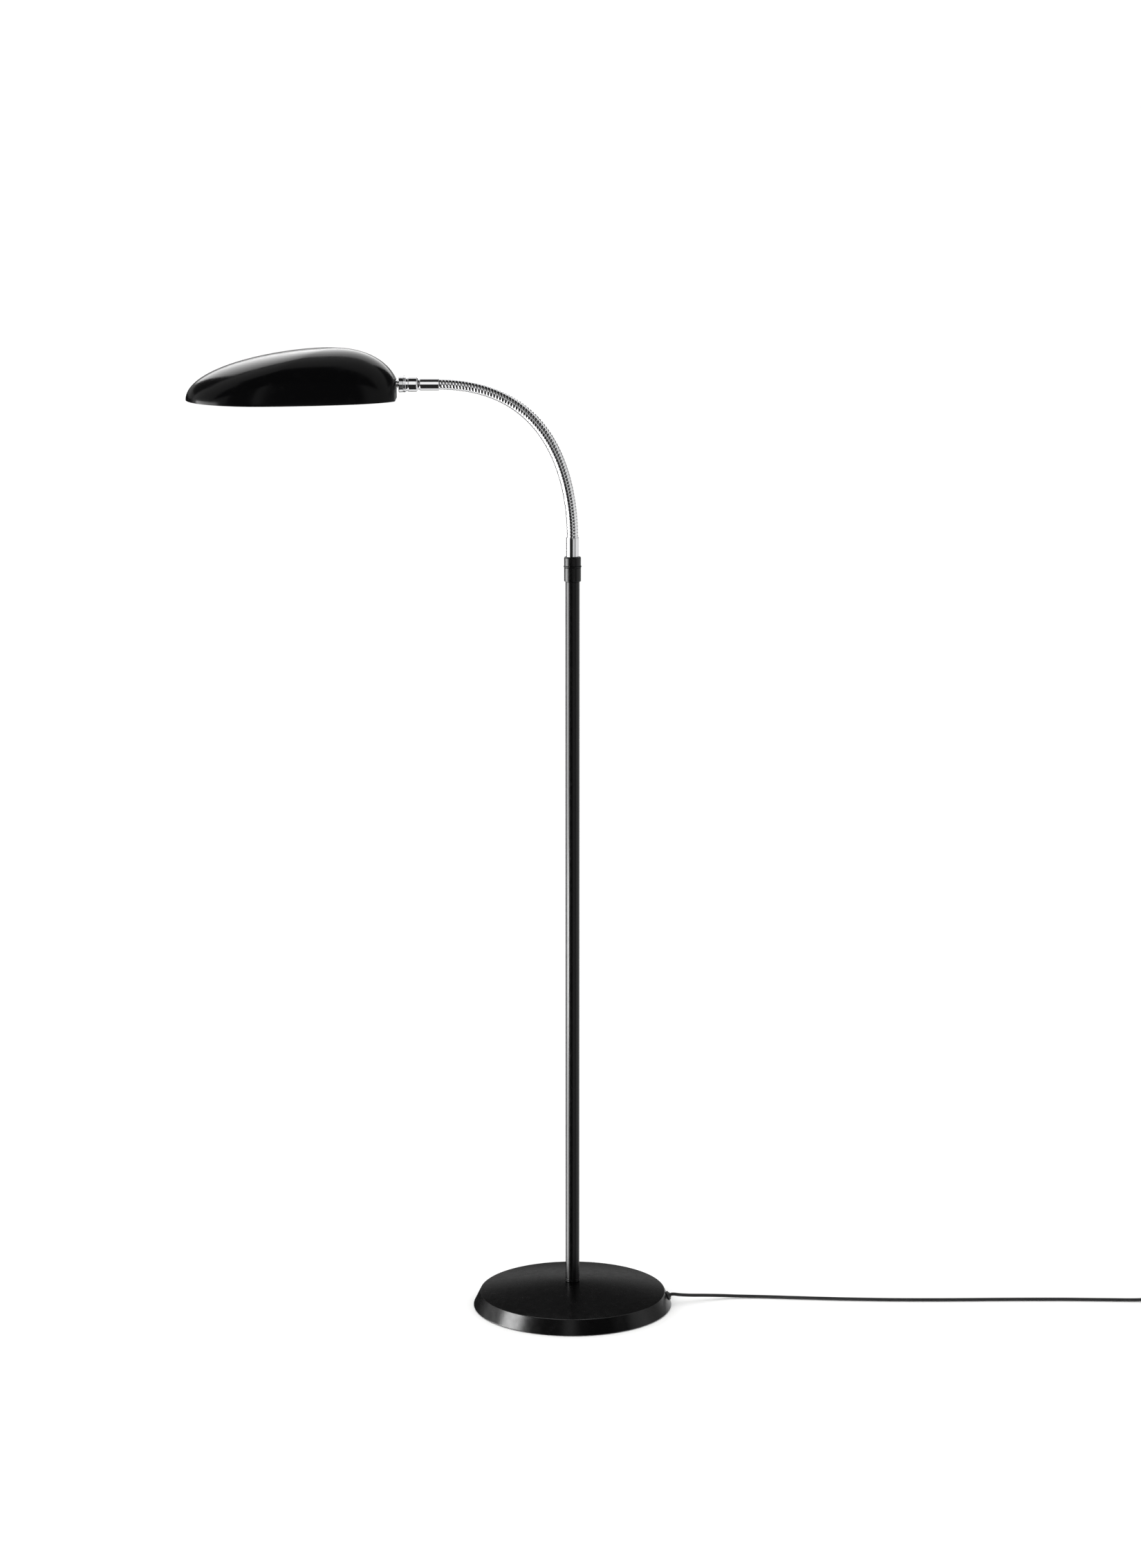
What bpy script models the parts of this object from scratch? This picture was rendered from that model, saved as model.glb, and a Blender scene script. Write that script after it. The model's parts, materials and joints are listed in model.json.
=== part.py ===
"""Adjustable arm floor lamp: weighted round base, straight post, swivelling gooseneck and a
hooded shade on a ball joint, with a flex, a foot switch and a plug.

Metres, +Z up.  The origin is the centre of the base's underside, on the post's axis.  The
gooseneck bends towards -X and the flex leaves the base towards +X.
"""

import math

import bmesh
import bpy
from mathutils import Matrix, Vector

# ---------------------------------------------------------------- driving dimensions
GAP = 0.0003                   # clearance between pieces that touch
UP = Vector((0, 0, 1))

BASE_R = 0.1373                # foot of the cover's side
RIM_R = 0.1281                 # upper edge of the side
RIM_Z = 0.0206
DOME_Z = 0.0340                # top of the cover, at the post
COVER_WALL = 0.0016
FELT_T = 0.0020
WELL_R = 0.0190                # pocket under the weight, round the nut
WELL_Z = 0.0256

POST_R = 0.0095
POST_WALL = 0.0012
POST_FOOT_Z = 0.0391
POST_TOP_Z = 1.0130
SLEEVE_R = 0.0113
BEAD_R = 0.0121
BEAD_Z = 1.0333                # the split line where the arm swivels
BEAD_T = 0.0024
CAP_TOP_Z = 1.0464
FERRULE_R = 0.0085
FERRULE_L = 0.0257

NECK_START = Vector((0, 0, 1.0724))
NECK_END = Vector((-0.1772, 0, 1.2777))
NECK_RISE = 0.080              # handle of the curve above the lower ferrule
NECK_REACH = 0.148             # handle of the curve behind the upper ferrule
HOSE_R = 0.0075
HOSE_BORE_R = 0.0048
HOSE_HINGES = 8
HOSE_GAP = 0.0034

HEAD_Z = NECK_END.z
BALL_X = -0.2237
BALL_R = 0.0080
# along the head's axis, as distances from the post's axis
GROOVE_START = 0.2031
GROOVE_END = 0.2047            # here the coupling starts
COUPLING_END = 0.2181
SPIGOT_START = 0.1950          # the coupling's tail, inside the ferrule
CUP_SEAT = 0.2125
NOSE_END = 0.2240
NUT_BACK = 0.2211
NUT_FACE = 0.2308
STEM_SHOULDER = 0.2342
STEM_END = 0.2455
# across it
GROOVE_R = 0.0073
COUPLING_R = 0.0103
NOSE_R = 0.0093
SPIGOT_R = 0.0042
NUT_R = 0.01115
STEM_NECK_R = 0.0045
STEM_R = 0.0034
STEM_BORE_R = 0.0023
SCREW_DROP = math.radians(25)  # the set screw faces the front, this far below the level

SHADE_TIP_X = -0.5136
SHADE_REAR_X = -0.2345
SHADE_RIM_Z = 1.2570
SHADE_CROWN_X = -0.3180
SHADE_H = 0.0682
SHADE_HALF_W = 0.0970
SHADE_WIDEST = 0.35            # widest place, as a share of the length from the tip
SHADE_REAR_SPARE = 0.0060      # how far the full curve would run past the flat rear wall
SHADE_WALL = 0.0014

HOLDER_X = -0.2600             # back of the lampholder
HOLDER_Z = 1.2860
HOLDER_R = 0.0135
HOLDER_L = 0.0400
HOLDER_LEAD_R = 0.0021         # hole for the shade's lead
HOLDER_SCREW_Y = -0.0042
HOLDER_SCREW_R = 0.0012
BULB_R = 0.0225
CORD_R = 0.00225

# ---------------------------------------------------------------- finishes
FINISHES = {
    "black_paint": ((0.012, 0.012, 0.013), 0.0, 0.28),
    "chrome": ((0.78, 0.78, 0.79), 1.0, 0.08),
    "steel": ((0.52, 0.52, 0.53), 1.0, 0.35),
    "cast_iron": ((0.09, 0.09, 0.09), 0.6, 0.70),
    "felt": ((0.03, 0.03, 0.03), 0.0, 0.95),
    "black_plastic": ((0.02, 0.02, 0.02), 0.0, 0.40),
    "white_plastic": ((0.82, 0.81, 0.78), 0.0, 0.35),
    "brass": ((0.72, 0.55, 0.26), 1.0, 0.25),
    "opal_glass": ((0.92, 0.92, 0.90), 0.0, 0.15),
    "textile": ((0.02, 0.02, 0.022), 0.0, 0.85),
}


def finish(node, name):
    """Give one object its own Principled material."""
    color, metallic, roughness = FINISHES[name]
    made = bpy.data.materials.new(f"{node.name}_{name}")
    made.use_nodes = True
    shader = made.node_tree.nodes["Principled BSDF"]
    shader.inputs["Base Color"].default_value = (*color, 1)
    shader.inputs["Metallic"].default_value = metallic
    shader.inputs["Roughness"].default_value = roughness
    node.data.materials.clear()
    node.data.materials.append(made)


# ---------------------------------------------------------------- shape helpers
def clear_scene():
    for old in list(bpy.data.objects):
        bpy.data.objects.remove(old, do_unlink=True)


def link_mesh(name, bm, look):
    """Turn a bmesh into a named object with outward faces and smooth round sides."""
    bmesh.ops.recalc_face_normals(bm, faces=bm.faces[:])
    mesh = bpy.data.meshes.new(name)
    bm.to_mesh(mesh)
    bm.free()
    mesh.shade_smooth()
    mesh.set_sharp_from_angle(angle=math.radians(35))
    node = bpy.data.objects.new(name, mesh)
    bpy.context.scene.collection.objects.link(node)
    if look:
        finish(node, look)
    return node


def turn_bmesh(profile, sides=20):
    """Revolve (radius, height) points about +Z.  A closed ring of points makes a hollow
    piece; a profile that starts and ends on the axis makes a solid one."""
    bm = bmesh.new()
    solid = profile[0][0] == 0 and profile[-1][0] == 0
    rings = []
    for radius, height in profile:
        count = 1 if radius == 0 else sides
        ring = []
        for i in range(count):
            angle = 2 * math.pi * i / sides
            ring.append(bm.verts.new((radius * math.cos(angle), radius * math.sin(angle), height)))
        rings.append(ring)
    pairs = list(zip(rings, rings[1:]))
    if not solid:
        pairs.append((rings[-1], rings[0]))
    for lower, upper in pairs:
        for i in range(sides):
            j = (i + 1) % sides
            corners = [lower[i % len(lower)], lower[j % len(lower)],
                       upper[j % len(upper)], upper[i % len(upper)]]
            bm.faces.new(list(dict.fromkeys(corners)))
    return bm


def place(node, at=(0, 0, 0), along=(0, 0, 1)):
    """Stand a piece at a point with its own +Z along a direction."""
    node.location = at
    node.rotation_euler = Vector(along).to_track_quat("Z", "Y").to_euler()
    return node


def turned(name, profile, look, at=(0, 0, 0), along=(0, 0, 1), sides=20):
    return place(link_mesh(name, turn_bmesh(profile, sides), look), at, along)


def sleeve(inner, outer, low, high, edge=0.0):
    """Profile of a plain ring or tube, with a small bevel on its outer edges."""
    if edge == 0:
        return [(inner, low), (outer, low), (outer, high), (inner, high)]
    return [(inner, low), (outer - edge, low), (outer, low + edge),
            (outer, high - edge), (outer - edge, high), (inner, high)]


def rod(radius, low, high, edge=0.0):
    """Profile of a plain solid rod, with a small bevel on its ends."""
    if edge == 0:
        return [(0, low), (radius, low), (radius, high), (0, high)]
    return [(0, low), (radius - edge, low), (radius, low + edge),
            (radius, high - edge), (radius - edge, high), (0, high)]


def headed(shank, tip, head, low, seat):
    """Profile of a screw: its head from low to seat, its shank from seat to tip."""
    return [(0, low), (head, low), (head, seat), (shank, seat), (shank, tip), (0, tip)]


def hex_nut(name, across_flats, bore, low, high, look, at=(0, 0, 0), along=(0, 0, 1)):
    """Six-sided nut with a round bore."""
    bm = bmesh.new()
    sides = 12
    outer = []
    inner = []
    for height in (low, high):
        for i in range(sides):
            angle = 2 * math.pi * i / sides
            bend = (angle % (math.pi / 3)) - math.pi / 6
            reach = across_flats / 2 / math.cos(bend)
            outer.append(bm.verts.new((reach * math.cos(angle), reach * math.sin(angle), height)))
            inner.append(bm.verts.new((bore * math.cos(angle), bore * math.sin(angle), height)))
    for i in range(sides):
        j = (i + 1) % sides
        bm.faces.new((outer[i], outer[j], outer[j + sides], outer[i + sides]))
        bm.faces.new((inner[j], inner[i], inner[i + sides], inner[j + sides]))
        bm.faces.new((outer[j], outer[i], inner[i], inner[j]))
        bm.faces.new((outer[i + sides], outer[j + sides], inner[j + sides], inner[i + sides]))
    return place(link_mesh(name, bm, look), at, along)


def block(name, low, high, look, edge=0.0):
    """Box between two corners, with bevelled edges."""
    low = Vector(low)
    high = Vector(high)
    bm = bmesh.new()
    size = Matrix.Diagonal((*(high - low), 1))
    bmesh.ops.create_cube(bm, size=1, matrix=Matrix.Translation((low + high) / 2) @ size)
    if edge:
        bmesh.ops.bevel(bm, geom=bm.edges[:], offset=edge, segments=2, affect="EDGES")
    return link_mesh(name, bm, look)


def cutter_of(node):
    node.hide_render = True
    node.display_type = "WIRE"
    return node


def cut(node, cutter):
    """Subtract a hidden cutter from a piece."""
    cutter_of(cutter)
    step = node.modifiers.new(f"cut_{cutter.name}", "BOOLEAN")
    step.operation = "DIFFERENCE"
    step.solver = "EXACT"
    step.object = cutter
    return node


def cord_tube(name, points, radius, look, resolution=2):
    """Round tube with filled ends along a list of points."""
    line = bpy.data.curves.new(name, "CURVE")
    line.dimensions = "3D"
    line.bevel_depth = radius
    line.bevel_resolution = resolution
    line.use_fill_caps = True
    spline = line.splines.new("POLY")
    spline.points.add(len(points) - 1)
    for knot, point in zip(spline.points, points):
        knot.co = (*point, 1)
    node = bpy.data.objects.new(name, line)
    bpy.context.scene.collection.objects.link(node)
    finish(node, look)
    return node


def smooth_route(points, step):
    """Evenly spaced points on a Catmull-Rom curve through a route's own points."""
    route = [Vector(p) for p in points]
    padded = [2 * route[0] - route[1], *route, 2 * route[-1] - route[-2]]
    fine = []
    for a, b, c, d in zip(padded, padded[1:], padded[2:], padded[3:]):
        for i in range(16):
            t = i / 16
            fine.append(0.5 * (2 * b + (c - a) * t + (2 * a - 5 * b + 4 * c - d) * t * t
                               + (3 * b - a - 3 * c + d) * t ** 3))
    fine.append(route[-1])
    lengths = [0.0]
    for a, b in zip(fine, fine[1:]):
        lengths.append(lengths[-1] + (b - a).length)
    count = max(2, round(lengths[-1] / step))
    spaced = []
    k = 0
    for i in range(count + 1):
        want = lengths[-1] * i / count
        while k < len(fine) - 2 and lengths[k + 1] < want:
            k += 1
        share = (want - lengths[k]) / (lengths[k + 1] - lengths[k])
        spaced.append(fine[k].lerp(fine[k + 1], share))
    return spaced


# ---------------------------------------------------------------- bodies
def pivot(name, at):
    """Empty on a joint's axis; the pieces that move with the joint hang from it."""
    marker = bpy.data.objects.new(name, None)
    marker.location = at
    marker.empty_display_size = 0.02
    bpy.context.scene.collection.objects.link(marker)
    return marker


def hang(parent, *pieces):
    for piece in pieces:
        piece.parent = parent
        piece.location = piece.location - parent.location


# ---------------------------------------------------------------- base and post
SIDE_SLOPE = (BASE_R - RIM_R) / RIM_Z
SIDE_OUT = Vector((RIM_Z, 0, BASE_R - RIM_R)).normalized()
BUSHING_Z = 0.0123
BUSHING_AT = Vector((BASE_R - SIDE_SLOPE * BUSHING_Z, 0, BUSHING_Z))
BORE_M10 = 0.0053              # running bore round the hollow threaded rods
ROD_M10 = 0.0050
ROD_BORE = 0.0032
LEAD_Z = 0.0064                # height of the lead in the weight's channel
LIP = 0.0008                   # rounding of the cover's edges
WEIGHT_LOW = 0.0026
FELT_R = 0.1330
CLAMP_X = 0.0860               # middle of the strap that holds the lead
CLAMP_HALF = (0.0070, 0.0130)
CLAMP_Z = (0.0031, 0.0038)
CLAMP_SCREW_Y = 0.0090
SCREW_HOLE_R = 0.0016


def dome_z(radius):
    """Height of the cover's crowned top at a radius."""
    return DOME_Z - (DOME_Z - RIM_Z) * (radius / RIM_R) ** 1.7


def dome_points(inner, outer, drop, steps=4):
    points = []
    for i in range(steps + 1):
        radius = inner + (outer - inner) * i / steps
        points.append((radius, dome_z(radius) - drop))
    return points


def make_base(stand):
    inset = COVER_WALL * 1.15
    outside = dome_points(BORE_M10, RIM_R - LIP, 0)
    outside += [(RIM_R, RIM_Z - LIP), (BASE_R - SIDE_SLOPE * LIP, LIP)]
    inside = [(BASE_R - SIDE_SLOPE * LIP - inset, LIP), (RIM_R - inset, RIM_Z - COVER_WALL - LIP)]
    inside += dome_points(BORE_M10, RIM_R - inset - LIP, COVER_WALL)[::-1]
    cover = turned("base_cover", outside + inside, "black_paint", sides=48)
    hole = turned("cut_cover_inlet", rod(0.0048, -0.008, 0.008), None, BUSHING_AT, SIDE_OUT, 24)
    cut(cover, hole)

    side = inset + GAP
    profile = [(BORE_M10, WELL_Z), (WELL_R, WELL_Z), (WELL_R, WEIGHT_LOW)]
    profile += [(BASE_R - SIDE_SLOPE * WEIGHT_LOW - side, WEIGHT_LOW),
                (RIM_R - side, RIM_Z - COVER_WALL - LIP)]
    profile += dome_points(BORE_M10, RIM_R - side - LIP, COVER_WALL + GAP)[::-1]
    weight = turned("base_weight", profile, "cast_iron", sides=48)
    pockets = {
        "cut_weight_channel": ((0.0140, -0.0045, -0.001), (0.1345, 0.0045, 0.0097)),
        "cut_weight_inlet": ((0.1120, -0.0070, -0.001), (0.1400, 0.0070, 0.0170)),
        "cut_weight_clamp": ((0.0780, -0.0140, -0.001), (0.0940, 0.0140, 0.0042)),
    }
    for name, (corner, far_corner) in pockets.items():
        cut(weight, block(name, corner, far_corner, None))
    felt = turned("base_felt", rod(FELT_R, 0, FELT_T), "felt", sides=48)

    flange = [(0.0026, -0.0060), (0.0045, -0.0060), (0.0045, GAP), (0.0066, GAP), (0.0066, 0.0018),
              (0.0050, 0.0034), (0.0040, 0.0040), (0.0026, 0.0040)]
    bushing = turned("cord_bushing", flange, "black_plastic", BUSHING_AT, SIDE_OUT, 24)

    half_x, half_y = CLAMP_HALF
    clamp = block("cord_clamp", (CLAMP_X - half_x, -half_y, CLAMP_Z[0]),
                  (CLAMP_X + half_x, half_y, CLAMP_Z[1]), "steel")
    at = (CLAMP_X, CLAMP_SCREW_Y, 0)
    cut(clamp, turned("cut_clamp", rod(SCREW_HOLE_R, 0.002, 0.005), None, at, sides=12))
    cut(weight, turned("cut_clamp_tap", rod(SCREW_HOLE_R, 0.002, 0.0105), None, at, sides=12))
    screw = turned("clamp_screw", headed(0.0013, 0.0100, 0.0026, 0.0023, 0.0028), "steel", at, sides=16)
    hang(stand, cover, weight, felt, bushing, clamp, screw)


NUT_FLATS = 0.0170
FOOT_RING_R = 0.0099
FOOT_RING_CUT = 0.0003         # depth of the groove round the foot ring
FOOT_RING_Z = 0.0343
FOOT_PLUG_TOP_Z = 0.0680
TOP_PLUG_LOW_Z = 0.9850
NECKED_R = 0.0085              # the top plug above the post, inside the collar


def make_post(stand):
    nipple = turned("foot_nipple", sleeve(ROD_BORE, ROD_M10, 0.0175, 0.0600), "steel")
    nut = hex_nut("foot_nut", NUT_FLATS, BORE_M10, 0.0182, 0.0236, "steel")
    washer = turned("foot_washer", sleeve(BORE_M10, 0.0140, 0.0239, 0.0253), "steel")
    low = FOOT_RING_Z
    high = POST_FOOT_Z - GAP
    groove = FOOT_RING_R - FOOT_RING_CUT
    ringed = [(BORE_M10, low), (FOOT_RING_R, low), (FOOT_RING_R, low + 0.0018),
              (groove, low + 0.0020), (groove, low + 0.0024), (FOOT_RING_R, low + 0.0026),
              (FOOT_RING_R, high), (BORE_M10, high)]
    ring = turned("post_foot_ring", ringed, "black_paint")
    bore = POST_R - POST_WALL
    foot = turned("post_foot_plug", sleeve(BORE_M10, bore - GAP, POST_FOOT_Z, FOOT_PLUG_TOP_Z), "steel")
    tube = turned("post_tube", sleeve(bore, POST_R, POST_FOOT_Z, POST_TOP_Z), "black_paint")
    seat = POST_TOP_Z + GAP
    top = BEAD_Z - BEAD_T / 2 - GAP
    shoulder = [(BORE_M10, TOP_PLUG_LOW_Z), (bore - GAP, TOP_PLUG_LOW_Z), (bore - GAP, POST_TOP_Z),
                (NECKED_R, seat), (NECKED_R, top), (BORE_M10, top)]
    plug = turned("post_top_plug", shoulder, "steel")
    collar = turned("collar_sleeve", sleeve(NECKED_R + GAP, SLEEVE_R, seat, top, 0.0006), "black_paint")
    half = BEAD_T / 2 - 0.0002
    bead = [(BORE_M10, BEAD_Z - half), (BEAD_R - 0.0008, BEAD_Z - half), (BEAD_R, BEAD_Z - half / 3),
            (BEAD_R, BEAD_Z + half / 3), (BEAD_R - 0.0008, BEAD_Z + half), (BORE_M10, BEAD_Z + half)]
    ring_top = turned("collar_ring", bead, "black_paint")
    hang(stand, nipple, nut, washer, ring, foot, tube, plug, collar, ring_top)


def make_inner_lead(stand):
    """Lead from the bushing through the base and straight up the post."""
    inlet = BUSHING_AT - SIDE_OUT * 0.0010
    inner_end = BUSHING_AT - SIDE_OUT * 0.0078
    route = [inlet, inner_end, (0.1150, 0, 0.0070), (0.1060, 0, LEAD_Z), (0.0800, 0, LEAD_Z),
             (0.0500, 0, LEAD_Z), (0.0260, 0, LEAD_Z), (0.0160, 0, LEAD_Z), (0.0100, 0, 0.0071),
             (0.0048, 0, 0.0098), (0.0014, 0, 0.0138), (0, 0, 0.0176), (0, 0, 0.0240),
             (0, 0, 0.0400), (0, 0, 0.0640)]
    line = [*smooth_route(route, 0.009), (0, 0, 1.0560)]
    hang(stand, cord_tube("inner_lead", line, CORD_R * 0.9, "black_plastic"))


# ---------------------------------------------------------------- swivel and gooseneck
def neck_curve(steps=400):
    """Points of the neck's centre line with their arc lengths."""
    rise = NECK_START + UP * NECK_RISE
    reach = NECK_END + Vector((NECK_REACH, 0, 0))
    points = []
    for i in range(steps + 1):
        t = i / steps
        s = 1 - t
        points.append(NECK_START * s ** 3 + rise * 3 * s * s * t
                      + reach * 3 * s * t * t + NECK_END * t ** 3)
    lengths = [0.0]
    for a, b in zip(points, points[1:]):
        lengths.append(lengths[-1] + (b - a).length)
    return points, lengths


NECK_POINTS, NECK_LENGTHS = neck_curve()
NECK_L = NECK_LENGTHS[-1]
STUB_L = 0.0140
SEGMENT_L = (NECK_L - 2 * STUB_L) / (HOSE_HINGES - 1)


def on_neck(length):
    """Point and direction on the neck's centre line; it runs straight on past both ends."""
    if length <= 0:
        return NECK_START + UP * length, UP.copy()
    if length >= NECK_L:
        ahead = Vector((-1, 0, 0))
        return NECK_END + ahead * (length - NECK_L), ahead
    k = 0
    while NECK_LENGTHS[k + 1] < length:
        k += 1
    step = NECK_POINTS[k + 1] - NECK_POINTS[k]
    share = (length - NECK_LENGTHS[k]) / (NECK_LENGTHS[k + 1] - NECK_LENGTHS[k])
    return NECK_POINTS[k] + step * share, step.normalized()


def hinge_at(index):
    return on_neck(STUB_L + SEGMENT_L * index)[0]


def hose_piece(name, start, end, rings=4, sides=12):
    """Length of hollow hose swept along the neck's curve."""
    bm = bmesh.new()
    shells = []
    for radius in (HOSE_R, HOSE_BORE_R):
        shell = []
        for i in range(rings):
            centre, ahead = on_neck(start + (end - start) * i / (rings - 1))
            side = Vector((0, 1, 0))
            out = ahead.cross(side)
            ring = []
            for k in range(sides):
                angle = 2 * math.pi * k / sides
                ring.append(bm.verts.new(centre + radius * (math.cos(angle) * side
                                                            + math.sin(angle) * out)))
            shell.append(ring)
        shells.append(shell)
    outer, inner = shells
    loops = outer + inner[::-1]
    for a, b in zip(loops, loops[1:] + loops[:1]):
        for k in range(sides):
            j = (k + 1) % sides
            bm.faces.new((a[k], a[j], b[j], b[k]))
    return link_mesh(name, bm, "chrome")


def make_swivel(swivel):
    cap = turned("collar_cap", sleeve(BORE_M10, SLEEVE_R, BEAD_Z + BEAD_T / 2 + 0.0001, CAP_TOP_Z,
                                      0.0008), "black_paint")
    low = CAP_TOP_Z + GAP
    mouth = HOSE_R + GAP
    shape = [(BORE_M10, low), (FERRULE_R - 0.0005, low), (FERRULE_R, low + 0.0005),
             (FERRULE_R, low + FERRULE_L - 0.0005), (FERRULE_R - 0.0004, low + FERRULE_L),
             (mouth, low + FERRULE_L), (mouth, low + 0.0110), (BORE_M10, low + 0.0080)]
    ferrule = turned("neck_lower_ferrule", shape, "chrome")
    bolt = turned("swivel_bolt", sleeve(ROD_BORE, ROD_M10, 0.9760, 1.0540), "steel")
    nut = hex_nut("swivel_nut", 0.0130, BORE_M10, 0.9770, 0.9828, "steel")
    washer = turned("swivel_washer", sleeve(BORE_M10, 0.0075, 0.9831, 0.9847), "steel")
    hose = hose_piece("hose_00", -0.0120, STUB_L - HOSE_GAP / 2)
    start = -0.0160
    end = NECK_L + 0.0345
    count = 26
    line = [on_neck(start + (end - start) * i / count)[0] for i in range(count + 1)]
    lead = cord_tube("neck_lead", line, CORD_R, "black_plastic")
    hang(swivel, cap, ferrule, bolt, nut, washer, hose, lead)


def make_hose():
    """One length of hose between each pair of neighbouring bends, on its lower bend's pivot."""
    for i in range(HOSE_HINGES - 1):
        start = STUB_L + SEGMENT_L * i + HOSE_GAP / 2
        end = start + SEGMENT_L - HOSE_GAP
        marker = pivot(f"pivot_hose_{i + 1:02d}", hinge_at(i))
        hang(marker, hose_piece(f"hose_{i + 1:02d}", start, end))


# ---------------------------------------------------------------- head and ball joint
HEAD_AT = Vector((0, 0, HEAD_Z))     # heights on the head's axis are then distances from the post
HEAD_ALONG = Vector((-1, 0, 0))


def head_turned(name, profile, look, sides=20):
    return turned(name, profile, look, HEAD_AT, HEAD_ALONG, sides)


def make_tip(tip):
    back = -NECK_END.x
    hose = hose_piece(f"hose_{HOSE_HINGES:02d}", NECK_L - STUB_L + HOSE_GAP / 2, NECK_L + 0.0120)
    mouth = HOSE_R + GAP
    end = GROOVE_END - GAP
    ferrule = head_turned("neck_upper_ferrule", [
        (mouth, back), (FERRULE_R - 0.0004, back), (FERRULE_R, back + 0.0005),
        (FERRULE_R, GROOVE_START - 0.0012), (GROOVE_R, GROOVE_START), (GROOVE_R, end),
        (SPIGOT_R + GAP, end), (SPIGOT_R + GAP, back + 0.0155), (mouth, back + 0.0130)], "chrome")
    screw_at = HEAD_AT + HEAD_ALONG * (GROOVE_START + GROOVE_END) / 2
    outward = Vector((0, -math.cos(SCREW_DROP), -math.sin(SCREW_DROP)))
    screw_r = 0.00055
    foot = SPIGOT_R + 2 * GAP
    hole = rod(screw_r + GAP / 2, foot - GAP, GROOVE_R + 0.001)
    cut(ferrule, turned("cut_set_screw", hole, None, screw_at, outward, 12))
    screw = rod(screw_r, foot, GROOVE_R - 0.0005)
    set_screw = turned("head_set_screw", screw, "steel", screw_at, outward, 12)

    nose_bore = BALL_R + 0.0005
    coupling = head_turned("joint_coupling", [
        (0.0030, SPIGOT_START), (SPIGOT_R, SPIGOT_START), (SPIGOT_R, GROOVE_END),
        (GROOVE_R + 0.0006, GROOVE_END), (COUPLING_R, GROOVE_END + 0.0021),
        (COUPLING_R, COUPLING_END - 0.0004), (COUPLING_R - 0.0004, COUPLING_END),
        (NOSE_R, COUPLING_END), (NOSE_R, NOSE_END), (nose_bore, NOSE_END), (nose_bore, CUP_SEAT),
        (0.0030, CUP_SEAT)], "chrome")
    seat = NUT_FACE - 0.0046
    nut = head_turned("joint_nut", [
        (NOSE_R + GAP, NUT_BACK), (NUT_R - 0.0005, NUT_BACK), (NUT_R, NUT_BACK + 0.0005),
        (NUT_R, NUT_FACE - 0.0010), (NUT_R - 0.0010, NUT_FACE), (0.0078, NUT_FACE),
        (0.0066, NUT_FACE - 0.0022), (0.0070, NUT_FACE - 0.0029), (0.0080, seat),
        (NOSE_R + GAP, seat)], "chrome", 24)
    spring = head_turned("cup_spring", sleeve(0.0040, 0.0078, CUP_SEAT + GAP, 0.2147), "steel")
    hang(tip, hose, ferrule, set_screw, coupling, nut, spring)


def ball_profile(start, end, steps=7):
    """Arc of the ball from one radius on its back to another on its front."""
    first = math.asin(start / BALL_R)
    last = math.pi - math.asin(end / BALL_R)
    points = []
    for i in range(steps + 1):
        angle = first + (last - first) * i / steps
        points.append((BALL_R * math.sin(angle), -BALL_X - BALL_R * math.cos(angle)))
    return points


def make_ball_joint(spin, tilt):
    cup = head_turned("friction_cup", [
        (0.0035, 0.2150), (0.0082, 0.2150), (0.0082, 0.2205), (0.0077, 0.2205), (0.0071, 0.2192),
        (0.0062, 0.2180), (0.0045, 0.2166), (0.0035, 0.2161)], "white_plastic")
    hang(spin, cup)
    stem = head_turned("ball_stem", ball_profile(STEM_BORE_R, STEM_NECK_R) + [
        (STEM_NECK_R, 0.2321), (0.0056, 0.2331), (0.0056, STEM_SHOULDER), (STEM_R, STEM_SHOULDER),
        (STEM_R, STEM_END), (STEM_BORE_R, STEM_END)], "chrome")
    hang(tilt, stem)


# ---------------------------------------------------------------- shade
def superellipse(share, power, other):
    """The other coordinate of |a|^power + |b|^other = 1, for a = share."""
    return max(0.0, 1 - share ** power) ** (1 / other)


def shade_ring(level, inset, count):
    """Level outline of the shade at a share of its height, inset by the wall."""
    front_reach = SHADE_CROWN_X - SHADE_TIP_X - inset
    rear_flat = SHADE_REAR_X - inset
    rear_reach = SHADE_REAR_X + SHADE_REAR_SPARE - SHADE_CROWN_X - inset
    front = SHADE_CROWN_X - front_reach * superellipse(level, 2.05, 1.7)
    rear = SHADE_CROWN_X + rear_reach * superellipse(level, 2.2, 2.2)
    half_w = (SHADE_HALF_W - inset) * superellipse(level, 2.3, 2.3)
    widest = front + SHADE_WIDEST * (rear - front)
    ring = []
    for i in range(count):
        angle = 2 * math.pi * i / count
        along = abs(math.cos(angle))
        across = math.sin(angle)
        if math.cos(angle) < 0:
            point = (widest - (widest - front) * along, half_w * across)
        else:
            bent = along ** 1.35
            edge = math.copysign(superellipse(bent, 1.55, 2.4), across)
            point = (min(widest + (rear - widest) * bent, rear_flat), half_w * edge)
        ring.append((*point, SHADE_RIM_Z + (SHADE_H - inset) * level))
    return ring


def shade_mesh(name, look, levels=12, count=40):
    """Open hood: an outer and an inner skin joined round the rim."""
    bm = bmesh.new()
    skins = []
    for inset in (0.0, SHADE_WALL):
        skin = []
        for i in range(levels):
            level = math.sin(math.pi / 2 * i / levels)
            skin.append([bm.verts.new(p) for p in shade_ring(level, inset, count)])
        top = bm.verts.new((SHADE_CROWN_X, 0, SHADE_RIM_Z + SHADE_H - inset))
        for a, b in zip(skin, skin[1:]):
            for k in range(count):
                j = (k + 1) % count
                bm.faces.new((a[k], a[j], b[j], b[k]))
        for k in range(count):
            bm.faces.new((skin[-1][k], skin[-1][(k + 1) % count], top))
        skins.append(skin)
    for k in range(count):
        j = (k + 1) % count
        bm.faces.new((skins[0][0][k], skins[1][0][k], skins[1][0][j], skins[0][0][j]))
    return link_mesh(name, bm, look)


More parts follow.
